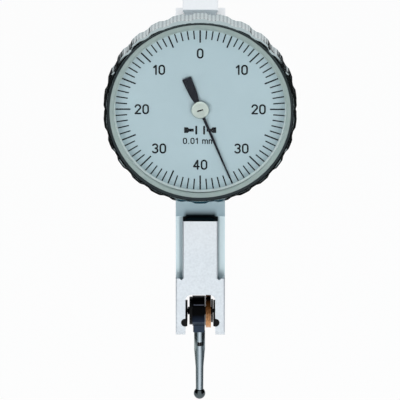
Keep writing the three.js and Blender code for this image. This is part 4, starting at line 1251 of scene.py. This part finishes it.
def floor_finish():
    finish = Finish("floor_pale", Base_Color=rgb(236, 236, 236), Roughness=0.8)
    white = finish.node("Emission", inputs={"Color": WHITE})
    finish.give_way(finish.ray_is(*SEEN_RAYS) * FLOOR_GLOW, white)
    return finish.material


stage_sheet("floor", [
    (x * FLOOR_HALF, y * FLOOR_HALF, FLOOR_Z) for x, y in ((-1, -1), (1, -1), (1, 1), (-1, 1))
], floor_finish())
black_card = Finish("card_black", Base_Color=rgb(6, 6, 7), Roughness=0.9).material
blue_card = Finish("card_blue", Base_Color=rgb(0, 0, 0), Roughness=1.0,
                   Emission_Color=rgb(46, 84, 98), Emission_Strength=1.0).material
UPRIGHT = {  # start and end in plan, foot and top
    "card_left": ((-60, -80), (-60, 60), -74, 10),
    "card_right": ((60, -80), (60, 60), -74, 10),
    "card_foot_left": ((-60, -80), (-60, 60), FLOOR_Z, -91),
    "card_foot_right": ((60, -80), (60, 60), FLOOR_Z, -91),
    "card_rear_left": ((-75, 60), (-9, 60), -62, -8),
    "card_rear_right": ((9, 60), (75, 60), -62, -8),
    "card_front": ((-19, -17), (19, -17), -36, 0),
}
LYING_FRONT = -17
LYING = {  # left, right, rear, height, finish
    "card_below_left": (-30, -5, 30, -36.6, black_card),
    "card_below_right": (5, 30, 30, -36.6, black_card),
    "card_below_middle": (-5, 5, -2.15, -37.4, blue_card),
}
cards = [
    stage_sheet(name, [(*start, foot), (*end, foot), (*end, top), (*start, top)], black_card)
    for name, (start, end, foot, top) in UPRIGHT.items()
] + [
    stage_sheet(name, [(left, LYING_FRONT, height), (right, LYING_FRONT, height),
                       (right, rear, height), (left, rear, height)], card_finish)
    for name, (left, right, rear, height, card_finish) in LYING.items()
]
for card in cards:
    card.visible_camera = False
    card.visible_diffuse = False
    card.visible_shadow = False
    card.visible_transmission = False
print("stage pieces:", 1 + len(cards))

# %% [markdown]
# ## Sky and lamps
# The sky lights the gauge a little from all round, and is white to whoever
# looks at it. Three broad lamps, above and at both sides of the front, make a
# tent of soft light. They don't show in the metal.

# %% Sky and lamps
SKY_TONE, SKY_STRENGTH = (0.7, 0.88, 1, 1), 0.36
world = bpy.data.worlds.new("studio")
bpy.context.scene.world = world
world.use_nodes = True
sky = Nodes(world.node_tree)
sky_seen = sky.node("Background", inputs={"Color": WHITE})
sky_light = sky.node("Background", inputs={"Color": SKY_TONE, "Strength": SKY_STRENGTH})
sky.node("OutputWorld", inputs={
    "Surface": sky.mixed_shader(sky.ray_is(*SEEN_RAYS), sky_light, sky_seen),
})


def aim(made, place, target):
    """Turns a lamp or camera from a place to a target, in millimetres."""
    made.location = Vector(place) * MM
    made.rotation_mode = "QUATERNION"
    made.rotation_quaternion = (Vector(target) - Vector(place)).to_track_quat("-Z", "Y")


def lamp(name, place, target, size, power):
    data = bpy.data.lights.new(name, "AREA")
    data.shape = "RECTANGLE"
    data.size, data.size_y = size[0] * MM, size[1] * MM
    data.energy = power
    made = linked(name, data)
    made.visible_glossy = False
    aim(made, place, target)


lamp("tent_top", (0, -60, 220), (0, -30, -30), (460, 320), 0.5)
lamp("front_left", (-150, -200, -70), (0, 0, -40), (160, 160), 0.3)
lamp("front_right", (150, -200, -70), (0, 0, -40), (160, 160), 0.27)
print("lamps:", [light.name for light in bpy.data.lights])

# %% [markdown]
# ## The camera
# The photograph was taken from above the dial's normal. The ratio of the round
# rim's height to its width gives 18.5 degrees. A long lens from over a metre
# away keeps the upright edges parallel.

# %% Camera
VIEW_ELEVATION, VIEW_TURN = math.radians(18.5), math.radians(0.25)
VIEW_DISTANCE, VIEW_WIDTH = 1200.0, 68.0
VIEW_CENTRE = Vector((-0.07, 0.0, -35.18))
SENSOR_WIDTH = 36.0
camera_data = bpy.data.cameras.new("camera")
camera = linked("camera", camera_data)
back = Vector((
    math.sin(VIEW_TURN) * math.cos(VIEW_ELEVATION),
    -math.cos(VIEW_TURN) * math.cos(VIEW_ELEVATION),
    math.sin(VIEW_ELEVATION),
))
aim(camera, VIEW_CENTRE + back * VIEW_DISTANCE, VIEW_CENTRE)
camera_data.clip_start, camera_data.clip_end = 0.01, 100.0
camera_data.sensor_width = SENSOR_WIDTH
camera_data.lens = SENSOR_WIDTH * VIEW_DISTANCE / VIEW_WIDTH
bpy.context.scene.camera = camera
bpy.context.scene.view_settings.view_transform = "Standard"
print("camera at", [round(c, 3) for c in camera.location])
